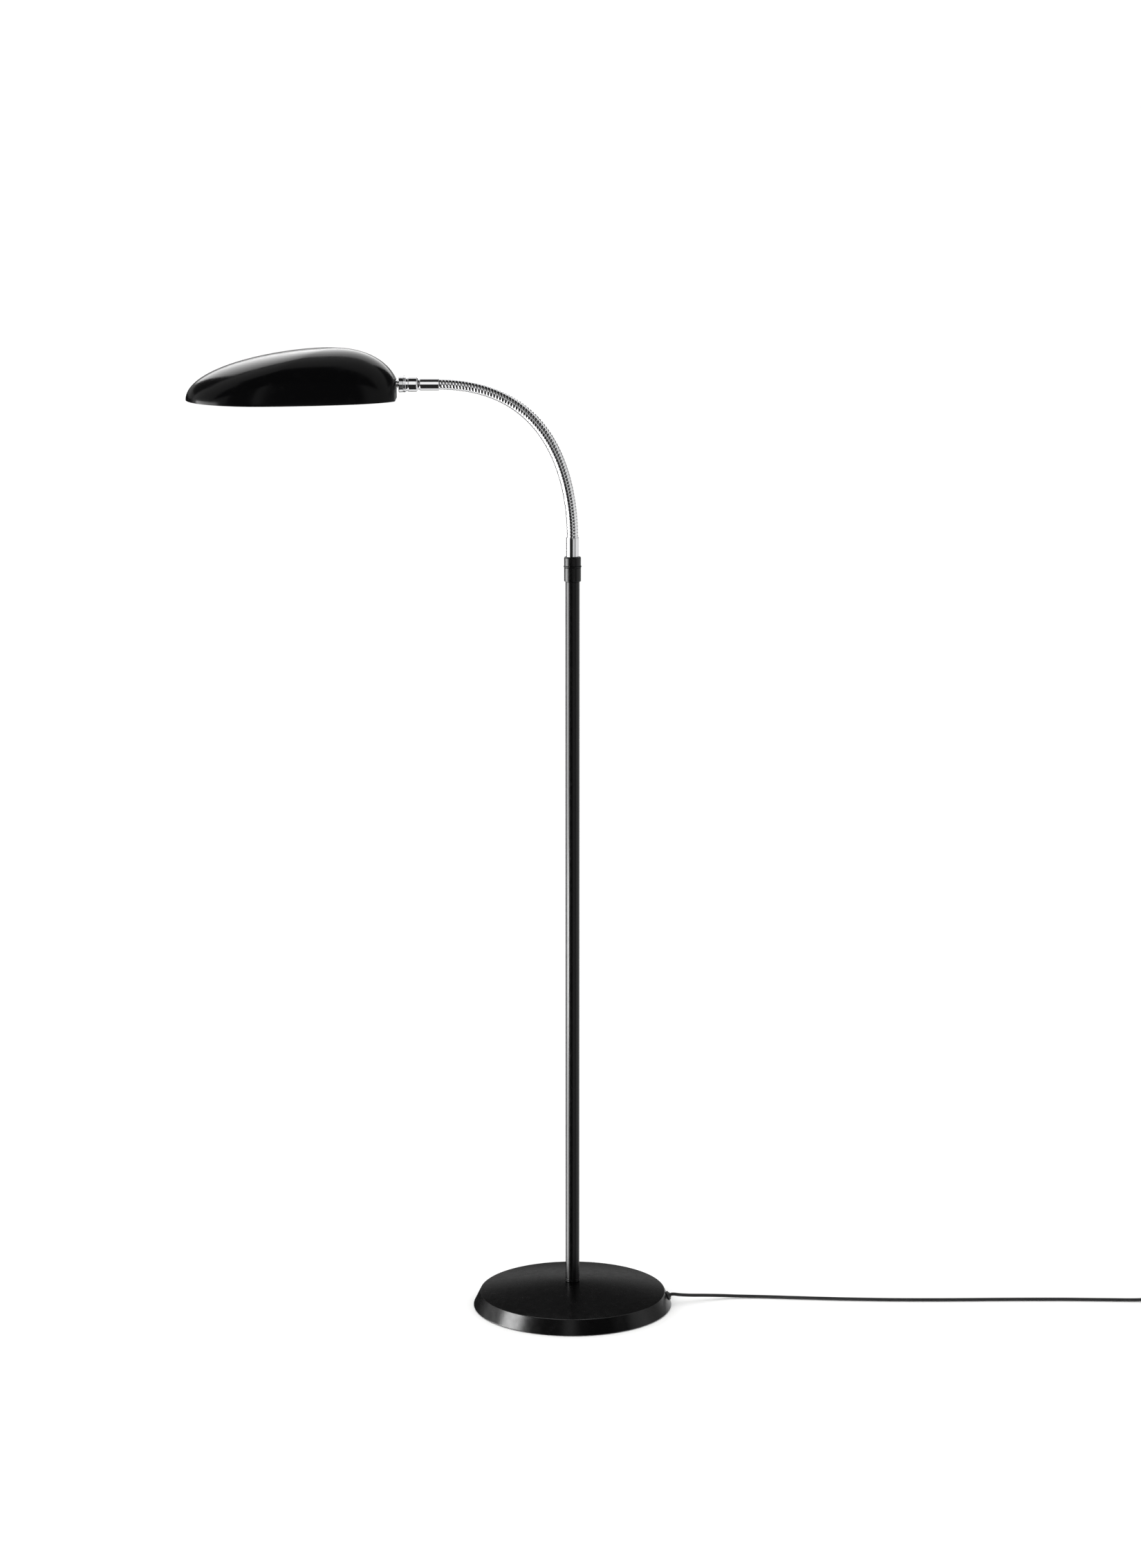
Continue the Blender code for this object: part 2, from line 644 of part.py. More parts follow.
def make_shade(shade):
    shell = shade_mesh("shade_shell", "black_paint")
    cut(shell, head_turned("cut_shade_stem", rod(STEM_R + GAP, 0.2300, 0.2400), None, 24))
    nut = hex_nut("stem_nut", 0.0100, STEM_R + GAP, 0.2383, 0.2426, "steel", HEAD_AT, HEAD_ALONG)
    hang(shade, shell, nut)


def make_bracket(shade):
    """Bent strip from the stem's nut to the back of the lampholder."""
    floor = 1.2668
    strip = 0.0012
    rear = -0.2368
    front = HOLDER_X + 0.0003
    outline = [(rear, floor), (rear, 1.2826), (rear - strip, 1.2826), (rear - strip, floor + strip),
               (front + strip, floor + strip), (front + strip, 1.2960), (front, 1.2960), (front, floor)]
    half = 0.0065
    bm = bmesh.new()
    near = [bm.verts.new((x, -half, z)) for x, z in outline]
    far = [bm.verts.new((x, half, z)) for x, z in outline]
    bm.faces.new(near)
    bm.faces.new(far[::-1])
    for i in range(len(outline)):
        j = (i + 1) % len(outline)
        bm.faces.new((near[i], far[i], far[j], near[j]))
    bracket = link_mesh("holder_bracket", bm, "steel")
    cut(bracket, head_turned("cut_bracket_stem", rod(STEM_R + GAP, 0.2360, 0.2400), None, 24))
    back = -HOLDER_X
    past = (back - 0.0030, back + 0.0020)
    holder_at = Vector((0, 0, HOLDER_Z))
    cut(bracket, turned("cut_bracket_lead", rod(HOLDER_LEAD_R, *past), None, holder_at,
                        HEAD_ALONG, 24))
    at = Vector((0, HOLDER_SCREW_Y, HOLDER_Z))
    cut(bracket, turned("cut_bracket_screw", rod(HOLDER_SCREW_R + GAP, *past), None, at,
                        HEAD_ALONG, 12))
    shape = headed(HOLDER_SCREW_R, back + 0.0026, 0.0022, back - 0.0026, back - 0.0018)
    screw = turned("holder_screw", shape, "steel", at, HEAD_ALONG, 16)
    hang(shade, bracket, screw)


def make_lamp(shade):
    back = -HOLDER_X
    at = Vector((0, 0, HOLDER_Z))

    def lamp_turned(name, profile, look, sides=20):
        return turned(name, profile, look, at, HEAD_ALONG, sides)

    mouth = back + HOLDER_L
    well_r = HOLDER_R - 0.0035
    floor = back + 0.0042
    body = lamp_turned("lampholder_body", [
        (HOLDER_LEAD_R, back), (HOLDER_R - 0.0015, back), (HOLDER_R, back + 0.0030),
        (HOLDER_R, mouth), (well_r, mouth), (well_r, floor), (HOLDER_LEAD_R, floor)], "white_plastic")
    tap = rod(HOLDER_SCREW_R + GAP, back - 0.001, back + 0.0030)
    cut(body, turned("cut_holder_tap", tap, None, (0, HOLDER_SCREW_Y, HOLDER_Z), HEAD_ALONG, 12))
    grip = sleeve(HOLDER_R + GAP, 0.0160, back + 0.0300, back + 0.0350, 0.0006)
    ring = lamp_turned("lampholder_ring", grip, "white_plastic")
    shell = sleeve(0.0072, 0.0077, back + 0.0050, back + 0.0330)
    thread = lamp_turned("lampholder_thread", shell, "brass", 24)
    cap = lamp_turned("bulb_cap", [
        (0, back + 0.0066), (0.0024, back + 0.0066), (0.0040, back + 0.0090), (0.0068, back + 0.0095),
        (0.0068, back + 0.0355), (0, back + 0.0355)], "brass", 24)
    centre = back + 0.0640
    wall = 0.0008
    turns = [math.radians(156) * i / 8 for i in range(1, 9)]
    outside = [(0, centre + BULB_R)]
    outside += [(BULB_R * math.sin(a), centre + BULB_R * math.cos(a)) for a in turns]
    inside = [(0, centre + BULB_R - wall)]
    inside += [((BULB_R - wall) * math.sin(a), centre + (BULB_R - wall) * math.cos(a)) for a in turns]
    mouth = back + 0.0358
    glass = lamp_turned("bulb_glass", outside + [(0.0072, mouth), (0.0064, mouth)] + inside[::-1],
                        "opal_glass")
    route = [(-0.2290, 0, HEAD_Z), (-0.2380, 0, HEAD_Z), (-0.2450, 0, HEAD_Z),
             (-0.2500, 0, HEAD_Z + 0.0020), (-0.2545, 0, HOLDER_Z - 0.0016), (-0.2590, 0, HOLDER_Z),
             (-0.2638, 0, HOLDER_Z)]
    lead = cord_tube("shade_lead", smooth_route(route, 0.0030), 0.0014, "black_plastic")
    hang(shade, body, ring, thread, cap, glass, lead)


# ---------------------------------------------------------------- flex, switch and plug
CORD_EXIT = BUSHING_AT + SIDE_OUT * 0.0049
FLOOR_LIE = CORD_R + 0.0002
SWITCH_AT = Vector((0.8650, 0.0105, 0))
SWITCH_CORD_Z = 0.0065
SWITCH_HALF_L = 0.0350
SWITCH_HALF_W = 0.0160
SWITCH_TOP = 0.0190
CORE_TOP = 0.0115
BUTTON_R = 0.0084
BUTTON_TOP = 0.0225
COIL_AT = Vector((0.9640, 0.04375, 0))
COIL_MID_R = 0.0265
COIL_HALF_W = 0.0092
COIL_LOW = 0.0011
COIL_HIGH = 0.0104
OUTER_TURN_R = 0.03325         # centre line of the coil's widest turn
STRAP_T = 0.0008
STRAP_HALF_W = 0.0060
PLUG_X = 0.9439                # where the flex goes into the plug, beside the coil
PLUG_Y = COIL_AT.y + OUTER_TURN_R
PLUG_Z = 0.0072
PLUG_L = 0.0330
PLUG_HALF_W = 0.0165
RELIEF_L = 0.0120
PIN_R = 0.0020
PIN_L = 0.0190
PIN_SPREAD = 0.0095            # half the distance between the pins
CORD_ROUTE = [
    CORD_EXIT, (0.1405, 0.0005, 0.0145), (0.1490, 0.0026, 0.0129), (0.1640, 0.0080, 0.0104),
    (0.1830, 0.0149, 0.0080), (0.2040, 0.0212, 0.0056), (0.2250, 0.0252, 0.0036),
    (0.2460, 0.0264, 0.0027), (0.2700, 0.0254, FLOOR_LIE), (0.3050, 0.0220, FLOOR_LIE),
    (0.3450, 0.0184, FLOOR_LIE), (0.3900, 0.0150, FLOOR_LIE), (0.4500, 0.0124, FLOOR_LIE),
    (0.5200, 0.0122, FLOOR_LIE), (0.6000, 0.0138, FLOOR_LIE), (0.6800, 0.0142, FLOOR_LIE),
    (0.7400, 0.0125, FLOOR_LIE), (0.7850, 0.0110, 0.0027), (0.8100, 0.0105, 0.0045),
    (0.8290, 0.0105, SWITCH_CORD_Z), (0.8470, 0.0105, SWITCH_CORD_Z),
    (0.8830, 0.0105, SWITCH_CORD_Z), (0.9010, 0.0105, 0.0063), (0.9180, 0.0105, 0.0051),
    (0.9300, 0.0105, 0.0040), (0.9457, 0.0105, 0.0036),
]


def make_cord(stand):
    lead = cord_tube("cord_lead", smooth_route(CORD_ROUTE, 0.0106), CORD_R, "textile")
    low = COIL_LOW
    high = COIL_HIGH
    inner = COIL_MID_R - COIL_HALF_W
    outer = COIL_MID_R + COIL_HALF_W
    soft = 0.0035
    coil = turned("cord_coil", [
        (inner, low + soft), (inner + soft, low), (outer - soft, low), (outer, low + soft),
        (outer, high - soft), (outer - soft, high), (inner + soft, high), (inner, high - soft)],
        "textile", COIL_AT, sides=24)
    hang(stand, lead, coil)
    make_tie(stand)
    make_plug(stand)


def make_tie(stand):
    """Strap round the coil's bundle on the side away from the switch."""
    hole_r = COIL_MID_R - COIL_HALF_W
    coil_r = COIL_MID_R + COIL_HALF_W
    half = STRAP_HALF_W
    low = COIL_AT + Vector((math.sqrt(hole_r ** 2 - half ** 2) - GAP, -half, COIL_LOW - GAP))
    high = COIL_AT + Vector((coil_r + GAP, half, COIL_HIGH + GAP))
    wall = Vector((STRAP_T, 0, STRAP_T))
    beyond = Vector((0, half, 0))
    tie = block("coil_tie", low - wall, high + wall, "black_plastic")
    cut(tie, block("cut_tie", low - beyond, high + beyond, None))
    hang(stand, tie)


def make_plug(stand):
    """Flat two-pin plug lying on the floor, pins towards -X."""
    along = Vector((-1, 0, 0))
    shoulder = PLUG_X - RELIEF_L
    face = shoulder - PLUG_L
    overlap = 0.0020
    body = block("plug_body", (face, PLUG_Y - PLUG_HALF_W, 0),
                 (shoulder + overlap / 2, PLUG_Y + PLUG_HALF_W, 2 * PLUG_Z), "black_plastic", 0.0035)
    end = RELIEF_L + overlap
    collar = turned("relief_shape", [(0, 0), (0.0034, 0), (0.0052, end), (0, end)], None,
                    (PLUG_X, PLUG_Y, PLUG_Z), along)
    cutter_of(collar)
    union = body.modifiers.new("strain_relief", "BOOLEAN")
    union.operation = "UNION"
    union.solver = "EXACT"
    union.object = collar
    hang(stand, body)
    for side, y in (("near", -PIN_SPREAD), ("far", PIN_SPREAD)):
        pin = turned(f"plug_pin_{side}", rod(PIN_R, GAP, PIN_L, 0.0006), "brass",
                     (face, PLUG_Y + y, PLUG_Z), along, 16)
        hang(stand, pin)


def make_switch(stand, press):
    """In-line foot switch: base, cover, core, sprung button and a screw."""
    split = SWITCH_CORD_Z
    x, y = SWITCH_AT.x, SWITCH_AT.y

    def centred(name, half_l, half_w, low, high, look, edge=0.0):
        return block(name, (x - half_l, y - half_w, low), (x + half_l, y + half_w, high), look, edge)

    base = centred("switch_base", SWITCH_HALF_L, SWITCH_HALF_W, 0, split - GAP / 2, "black_plastic",
                   0.0010)
    cover = centred("switch_cover", SWITCH_HALF_L, SWITCH_HALF_W, split + GAP / 2, SWITCH_TOP,
                    "black_plastic", 0.0020)
    core = centred("switch_core", 0.0100, 0.0100, split + GAP, CORE_TOP, "white_plastic")
    room_top = SWITCH_TOP - 0.0020
    cut(cover, centred("cut_switch_room", SWITCH_HALF_L - 0.0060, SWITCH_HALF_W - 0.0030, 0, room_top,
                       None))
    mouth = rod(BUTTON_R + 0.0004, CORE_TOP, 0.0250)
    cut(cover, turned("cut_switch_mouth", mouth, None, SWITCH_AT, sides=20))
    for name, node in (("cut_base_run", base), ("cut_cover_run", cover), ("cut_core_run", core)):
        channel = rod(CORD_R + 0.00045, -0.05, 0.05)
        cut(node, turned(name, channel, None, (x, y, split), (1, 0, 0), 16))
    at = SWITCH_AT + Vector((0.0318, -0.0090, 0))
    screw_r = 0.0013
    cut(base, turned("cut_base_screw", rod(screw_r + GAP, -0.001, 0.010), None, at, sides=12))
    cut(cover, turned("cut_cover_screw", rod(screw_r + GAP, 0.004, 0.0152), None, at, sides=12))
    screw = turned("switch_screw", rod(screw_r, 0.0006, 0.0148), "steel", at, sides=12)
    spring_r = 0.0057
    skirt_r = spring_r + 0.0005
    seat = CORE_TOP + GAP
    spring_top = 0.0181
    spring = turned("switch_spring", sleeve(spring_r - 0.0012, spring_r, seat, spring_top), "steel",
                    SWITCH_AT, sides=16)
    button = turned("switch_button", [
        (0, spring_top + GAP), (skirt_r, spring_top + GAP), (skirt_r, 0.0145), (BUTTON_R, 0.0145),
        (BUTTON_R, BUTTON_TOP - 0.0015), (BUTTON_R - 0.0010, BUTTON_TOP - 0.0003), (0, BUTTON_TOP)],
        "black_plastic", SWITCH_AT)
    hang(stand, base, cover, core, screw, spring)
    hang(press, button)


# ---------------------------------------------------------------- assembly
def main():
    clear_scene()
    stand = pivot("pivot_stand", (0, 0, 0))
    swivel = pivot("pivot_swivel", (0, 0, BEAD_Z))
    tip = pivot("pivot_tip", hinge_at(HOSE_HINGES - 1))
    ball = (BALL_X, 0, HEAD_Z)
    spin = pivot("pivot_spin", ball)
    tilt = pivot("pivot_tilt", ball)
    shade = pivot("pivot_shade", ball)
    press = pivot("pivot_switch", SWITCH_AT)

    make_base(stand)
    make_post(stand)
    make_inner_lead(stand)
    make_swivel(swivel)
    make_hose()
    make_tip(tip)
    make_ball_joint(spin, tilt)
    make_shade(shade)
    make_bracket(shade)
    make_lamp(shade)
    make_cord(stand)
    make_switch(stand, press)


main()
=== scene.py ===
"""Looks of the adjustable arm floor lamp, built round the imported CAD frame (metres, +Z up)."""

import bisect
import json
import math

import bmesh
import bpy
from mathutils import Matrix, Vector


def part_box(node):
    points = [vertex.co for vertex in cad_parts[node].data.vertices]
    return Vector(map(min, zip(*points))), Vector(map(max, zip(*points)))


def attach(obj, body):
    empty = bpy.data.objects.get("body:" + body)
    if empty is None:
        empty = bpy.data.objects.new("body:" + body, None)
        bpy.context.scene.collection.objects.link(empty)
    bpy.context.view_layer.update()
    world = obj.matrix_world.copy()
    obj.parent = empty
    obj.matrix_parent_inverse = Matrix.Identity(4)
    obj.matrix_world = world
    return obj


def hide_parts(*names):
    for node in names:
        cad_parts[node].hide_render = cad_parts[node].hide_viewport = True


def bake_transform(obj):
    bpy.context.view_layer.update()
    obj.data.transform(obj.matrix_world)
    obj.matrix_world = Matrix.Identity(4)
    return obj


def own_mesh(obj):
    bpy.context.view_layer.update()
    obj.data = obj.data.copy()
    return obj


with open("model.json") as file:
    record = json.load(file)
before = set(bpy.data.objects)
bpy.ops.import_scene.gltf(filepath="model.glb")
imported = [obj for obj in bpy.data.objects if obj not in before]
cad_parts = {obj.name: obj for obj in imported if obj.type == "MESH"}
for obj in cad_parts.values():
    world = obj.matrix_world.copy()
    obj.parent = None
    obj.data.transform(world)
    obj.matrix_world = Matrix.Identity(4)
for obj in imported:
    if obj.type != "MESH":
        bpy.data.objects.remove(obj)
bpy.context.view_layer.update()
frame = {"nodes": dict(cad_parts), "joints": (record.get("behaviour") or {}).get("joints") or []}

NODES = frame["nodes"]
UP = Vector((0, 0, 1))
X_AXIS = Vector((1, 0, 0))
Y_AXIS = Vector((0, 1, 0))


# ---------------- places read from the frame
def middle(node):
    low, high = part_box(node)
    return (low + high) / 2


def size_of(node):
    low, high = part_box(node)
    return high - low


def joint_at(name):
    for joint in frame["joints"]:
        if joint["name"] == name:
            return Vector(joint["pos_m"])
    raise ValueError(name)


HEAD_Z = joint_at("shade_tilt").z
NECK_START = Vector((0, 0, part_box("neck_lower_ferrule")[1].z))
NECK_END = Vector((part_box("neck_upper_ferrule")[1].x, 0, HEAD_Z))
NECK_RISE = 0.080
NECK_REACH = 0.148
HOSE_R = 0.0075

CORD_R = 0.00225
CORD_D = 2 * CORD_R
COIL_AT = middle("cord_coil")
COIL_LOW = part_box("cord_coil")[0].z
PLUG_BACK_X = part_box("plug_body")[1].x
BUSHING_AT = Vector((0.13181, 0, 0.0123))
SIDE_OUT = Vector((0.0206, 0, 0.0092)).normalized()
FLOOR_LIE = CORD_R + 0.0002
SWITCH_CORD_Z = 0.0065

# the flex starts inside the bushing, so that its cut end is hidden
CORD_START = BUSHING_AT + SIDE_OUT * 0.0012

# its route from the bushing's nose to the coil, the same points as the CAD tube's
CORD_ROUTE = [
    BUSHING_AT + SIDE_OUT * 0.0049, (0.1405, 0.0005, 0.0145), (0.1490, 0.0026, 0.0129),
    (0.1640, 0.0080, 0.0104), (0.1830, 0.0149, 0.0080), (0.2040, 0.0212, 0.0056),
    (0.2250, 0.0252, 0.0036), (0.2460, 0.0264, 0.0027), (0.2700, 0.0254, FLOOR_LIE),
    (0.3050, 0.0220, FLOOR_LIE), (0.3450, 0.0184, FLOOR_LIE), (0.3900, 0.0150, FLOOR_LIE),
    (0.4500, 0.0124, FLOOR_LIE), (0.5200, 0.0122, FLOOR_LIE), (0.6000, 0.0138, FLOOR_LIE),
    (0.6800, 0.0142, FLOOR_LIE), (0.7400, 0.0125, FLOOR_LIE), (0.7850, 0.0110, 0.0027),
    (0.8100, 0.0105, 0.0045), (0.8290, 0.0105, SWITCH_CORD_Z), (0.8470, 0.0105, SWITCH_CORD_Z),
    (0.8830, 0.0105, SWITCH_CORD_Z), (0.9010, 0.0105, 0.0063), (0.9180, 0.0105, 0.0051),
    (0.9300, 0.0105, 0.0040), (0.9457, 0.0105, 0.0036),
]


# ---------------- camera
def make_camera():
    """Standing height, a long lens, tipped down a little: the whole lamp with the hood at the left."""
    data = bpy.data.cameras.new("camera")
    data.lens = 92.76
    data.sensor_width = 36
    data.clip_end = 60
    camera = bpy.data.objects.new("camera", data)
    camera.location = (-0.0028, -5.362, 1.801)
    camera.rotation_euler = (math.radians(90 - 11.23), 0, 0)
    bpy.context.scene.collection.objects.link(camera)
    bpy.context.scene.camera = camera


# ---------------- mesh helpers
def new_piece(name, bm, *materials, crease=35):
    """A bmesh as a smooth-shaded object with its materials."""
    bmesh.ops.recalc_face_normals(bm, faces=bm.faces[:])
    mesh = bpy.data.meshes.new(name)
    bm.to_mesh(mesh)
    bm.free()
    mesh.shade_smooth()
    mesh.set_sharp_from_angle(angle=math.radians(crease))
    piece = bpy.data.objects.new(name, mesh)
    bpy.context.scene.collection.objects.link(piece)
    for material in materials:
        mesh.materials.append(material)
    return piece


def arc(centre, radius, first, last, steps):
    """(radius, height) points of a rounded corner, angles in degrees from +r towards +z."""
    points = []
    for i in range(steps + 1):
        angle = math.radians(first + (last - first) * i / steps)
        points.append((centre[0] + radius * math.cos(angle), centre[1] + radius * math.sin(angle)))
    return points


def low_edge(radius, height, soft, steps=3):
    """Rounded outer edge at the lower end of a turned profile."""
    return arc((radius - soft, height + soft), soft, -90, 0, steps)


def high_edge(radius, height, soft, steps=3):
    """Rounded outer edge at the upper end of a turned profile."""
    return arc((radius - soft, height - soft), soft, 0, 90, steps)


def thread(crest, root, start, pitch, turns):
    """Crests of a thread, with a root half way to the next one."""
    points = []
    for turn in range(turns):
        height = start + pitch * turn
        points += [(crest, height), (root, height + pitch / 2)]
    return points


HOLD = 0.0002                  # distance of a supporting ring from the edge it supports


def held(profile):
    """A profile with a point more near both ends of each long straight run: a ring there keeps
    the shading along the run from leaning into the rounded edges."""
    points = [profile[0]]
    for a, b in zip(profile, profile[1:]):
        run = math.dist(a, b)
        if run > 8 * HOLD:
            for share in (HOLD / run, 1 - HOLD / run):
                points.append((a[0] + (b[0] - a[0]) * share, a[1] + (b[1] - a[1]) * share))
        points.append(b)
    return points


def standing(at, along):
    """Matrix that sets down what is made about +Z, at a point and along a direction."""
    return Matrix.Translation(at) @ Vector(along).to_track_quat("Z", "Y").to_matrix().to_4x4()


def circle(sides):
    """Angles of the corners round a ring."""
    return [2 * math.pi * i / sides for i in range(sides)]


def bridge(bm, rings):
    """Faces between each ring of corners and the next one."""
    faces = []
    for a, b in zip(rings, rings[1:]):
        for k in range(len(a)):
            j = (k + 1) % len(a)
            faces.append(bm.faces.new((a[k], a[j], b[j], b[k])))
    return faces


def bridge_and_close(bm, rings):
    """Faces between the rings, and one each over the first and the last."""
    bridge(bm, rings)
    bm.faces.new(rings[0])
    bm.faces.new(rings[-1])


def lathe(name, profile, material, at=(0, 0, 0), along=(0, 0, 1), sides=96, crease=35):
    """Turned piece: (radius, height) points revolved about a direction through a point."""
    bm = bmesh.new()
    profile = held(profile)
    solid = profile[0][0] == 0 and profile[-1][0] == 0
    stand = standing(at, along)
    rings = []
    for radius, height in profile:
        turn = [0.0] if radius == 0 else circle(sides)
        rings.append([bm.verts.new(stand @ Vector((radius * math.cos(a), radius * math.sin(a), height)))
                      for a in turn])
    pairs = list(zip(rings, rings[1:]))
    if not solid:
        pairs.append((rings[-1], rings[0]))
    for lower, upper in pairs:
        for i in range(sides):
            j = (i + 1) % sides
            corners = [lower[i % len(lower)], lower[j % len(lower)],
                       upper[j % len(upper)], upper[i % len(upper)]]
            bm.faces.new(list(dict.fromkeys(corners)))
    return new_piece(name, bm, material, crease=crease)


def smooth_route(points, step):
    """Evenly spaced points on a Catmull-Rom curve through a route's own points."""
    route = [Vector(p) for p in points]
    padded = [2 * route[0] - route[1], *route, 2 * route[-1] - route[-2]]
    fine = []
    for a, b, c, d in zip(padded, padded[1:], padded[2:], padded[3:]):
        for i in range(16):
            t = i / 16
            fine.append(0.5 * (2 * b + (c - a) * t + (2 * a - 5 * b + 4 * c - d) * t * t
                               + (3 * b - a - 3 * c + d) * t ** 3))
    fine.append(route[-1])
    return respaced(fine, step)


def lengths_along(points):
    """Arc length from the start of a line to each of its points."""
    lengths = [0.0]
    for a, b in zip(points, points[1:]):
        lengths.append(lengths[-1] + (b - a).length)
    return lengths


def respaced(fine, step):
    """The same line with its points an even step apart."""
    lengths = lengths_along(fine)
    count = max(2, round(lengths[-1] / step))
    spaced = []
    k = 0
    for i in range(count + 1):
        want = lengths[-1] * i / count
        while k < len(fine) - 2 and lengths[k + 1] < want:
            k += 1
        share = (want - lengths[k]) / (lengths[k + 1] - lengths[k])
        spaced.append(fine[k].lerp(fine[k + 1], share))
    return spaced


def tube(name, points, radius, material, sides=16):
    """Round tube along a line, with a UV map in metres: round it, and along it."""
    bm = bmesh.new()
    uv = bm.loops.layers.uv.new("round_and_along")
    side = Y_AXIS.copy()
    rings = []
    for i, point in enumerate(points):
        ahead = (points[min(i + 1, len(points) - 1)] - points[max(i - 1, 0)]).normalized()
        side = (side - ahead * side.dot(ahead)).normalized()
        other = ahead.cross(side)
        rings.append([bm.verts.new(point + radius * (side * math.cos(a) + other * math.sin(a)))
                      for a in circle(sides)])
    lengths = lengths_along(points)
    width = 2 * math.pi * radius / sides
    for i, face in enumerate(bridge(bm, rings)):
        ring, k = divmod(i, sides)
        corners = ((k, ring), (k + 1, ring), (k + 1, ring + 1), (k, ring + 1))
        for loop, (turned, passed) in zip(face.loops, corners):
            loop[uv].uv = (turned * width, lengths[passed])
    bm.faces.new(rings[0])
    bm.faces.new(rings[-1])
    return new_piece(name, bm, material, crease=60)


def soft_block(low, high, radius):
    """Cutter for a hollow: a block with all its edges rounded."""
    bm = bmesh.new()
    size = Matrix.Diagonal((*(high - low), 1))
    bmesh.ops.create_cube(bm, size=1, matrix=Matrix.Translation((low + high) / 2) @ size)
    bmesh.ops.bevel(bm, geom=bm.edges[:], offset=radius, segments=4, affect="EDGES", profile=0.5)
    return new_piece("hollow", bm, None)


def ribbed(name, rows, teeth, material, at, along):
    """Ring turned from a closed outline of rows (radius, height, tooth): a row stands out by its
    tooth on half of each of the equal steps round it."""
    bm = bmesh.new()
    stand = standing(at, along)
    rings = []
    for radius, height, tooth in rows:
        ring = []
        for k, angle in enumerate(circle(4 * teeth)):
            reach = radius + (tooth if k % 4 < 2 else 0)
            corner = Vector((reach * math.cos(angle), reach * math.sin(angle), height))
            ring.append(bm.verts.new(stand @ corner))
        rings.append(ring)
    bridge(bm, [*rings, rings[0]])
    return new_piece(name, bm, material, crease=20)


def cut(piece, cutter):
    """Subtract a helper object from a piece for good."""
    step = piece.modifiers.new("cut", "BOOLEAN")
    step.operation = "DIFFERENCE"
    step.solver = "EXACT"
    step.object = cutter
    bpy.context.view_layer.update()
    evaluated = piece.evaluated_get(bpy.context.evaluated_depsgraph_get())
    mesh = bpy.data.meshes.new_from_object(evaluated)
    mesh.set_sharp_from_angle(angle=math.radians(35))
    piece.modifiers.clear()
    piece.data = mesh
    bpy.data.objects.remove(cutter)
    return piece


def drill(piece, radius, start, end, at, along, sides=32):
    """Cut a round hole, from one distance to another from a point along a direction."""
    shape = [(0, start), (radius, start), (radius, end), (0, end)]
    return cut(piece, lathe("drill", shape, None, at, along, sides))


def keep(piece, body, slot, *nodes):
    """Ride a finished piece on its body in place of CAD nodes; its slot argument is not used."""
    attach(piece, body)
    if nodes:
        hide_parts(*nodes)
    return piece


# ---------------- materials
class Nodes:
    """A node tree and short ways to build it."""

    def __init__(self, tree):
        self.tree = tree

    def node(self, kind, **inputs):
        made = self.tree.nodes.new(kind)
        for socket, value in inputs.items():
            self.feed(made.inputs[socket.replace("_", " ")], value)
        return made

    def feed(self, socket, value):
        """Set a socket to a number, or link it to another node's output."""
        if isinstance(value, bpy.types.NodeSocket):
            self.tree.links.new(value, socket)
        else:
            socket.default_value = value

    def place(self, kind="Object"):
        return self.node("ShaderNodeTexCoord").outputs[kind]

    def math(self, operation, a, b=0.0, c=0.0):
        made = self.tree.nodes.new("ShaderNodeMath")
        made.operation = operation
        for socket, value in zip(made.inputs, (a, b, c)):
            self.feed(socket, value)
        return made.outputs["Value"]

    def spread(self, value, low, high, to_low=0.0, to_high=1.0, kind="LINEAR"):
        """Stretch a value from one range to another."""
        made = self.node("ShaderNodeMapRange", Value=value, From_Min=low, From_Max=high,
                         To_Min=to_low, To_Max=to_high)
        made.interpolation_type = kind
        return made.outputs["Result"]


class Paint(Nodes):
    """One Principled material and short ways to add procedural detail to it."""

    def __init__(self, name, color, roughness, metallic=0.0, **sockets):
        self.material = bpy.data.materials.new(name)
        self.material.use_nodes = True
        super().__init__(self.material.node_tree)
        self.shader = self.tree.nodes["Principled BSDF"]
        self.color = (*color, 1)
        self.set("Base Color", self.color)
        self.set("Roughness", roughness)
        self.set("Metallic", metallic)
        for socket, value in sockets.items():
            self.set(socket.replace("_", " "), value)

    def set(self, socket, value):
        self.shader.inputs[socket].default_value = value

    def noise(self, scale, detail=3.0, rough=0.5, place=None):
        made = self.node("ShaderNodeTexNoise", Scale=scale, Detail=detail, Roughness=rough)
        self.feed(made.inputs["Vector"], place or self.place())
        return made.outputs["Fac"]

    def blend(self, share, first, second):
        """Mix two colours by a share."""
        made = self.tree.nodes.new("ShaderNodeMix")
        made.data_type = "RGBA"
        factor, a, b = [socket for socket in made.inputs if socket.enabled][:3]
        self.feed(factor, share)
        self.feed(a, first)
        self.feed(b, second)
        return next(socket for socket in made.outputs if socket.enabled)

    def tint(self, share, other):
        """Fade the colour towards another one by a share."""
        self.feed(self.shader.inputs["Base Color"], self.blend(share, self.color, (*other, 1)))

    def gloss(self, value, low, high):
        """Let the roughness wander between two values."""
        self.feed(self.shader.inputs["Roughness"], self.spread(value, 0.3, 0.7, low, high))

    def bump(self, height, depth, under=None):
        made = self.node("ShaderNodeBump", Height=height, Distance=depth, Strength=1.0)
        if under:
            self.feed(made.inputs["Normal"], under)
        self.feed(self.shader.inputs["Normal"], made.outputs["Normal"])
        return made.outputs["Normal"]


def lacquer(name, color, low, high, peel_scale, peel_depth, **sockets):
    """Sprayed paint: orange peel, soft smudges in the gloss and a breath of dust."""
    paint = Paint(name, color, low, **sockets)
    paint.bump(paint.noise(peel_scale, 2.0), peel_depth)
    paint.gloss(paint.noise(120.0, 4.0), low, high)
    dust = paint.spread(paint.noise(60.0, 6.0, 0.65), 0.55, 0.85, 0.0, 0.004)
    paint.tint(dust, (0.34, 0.33, 0.31))
    return paint.material


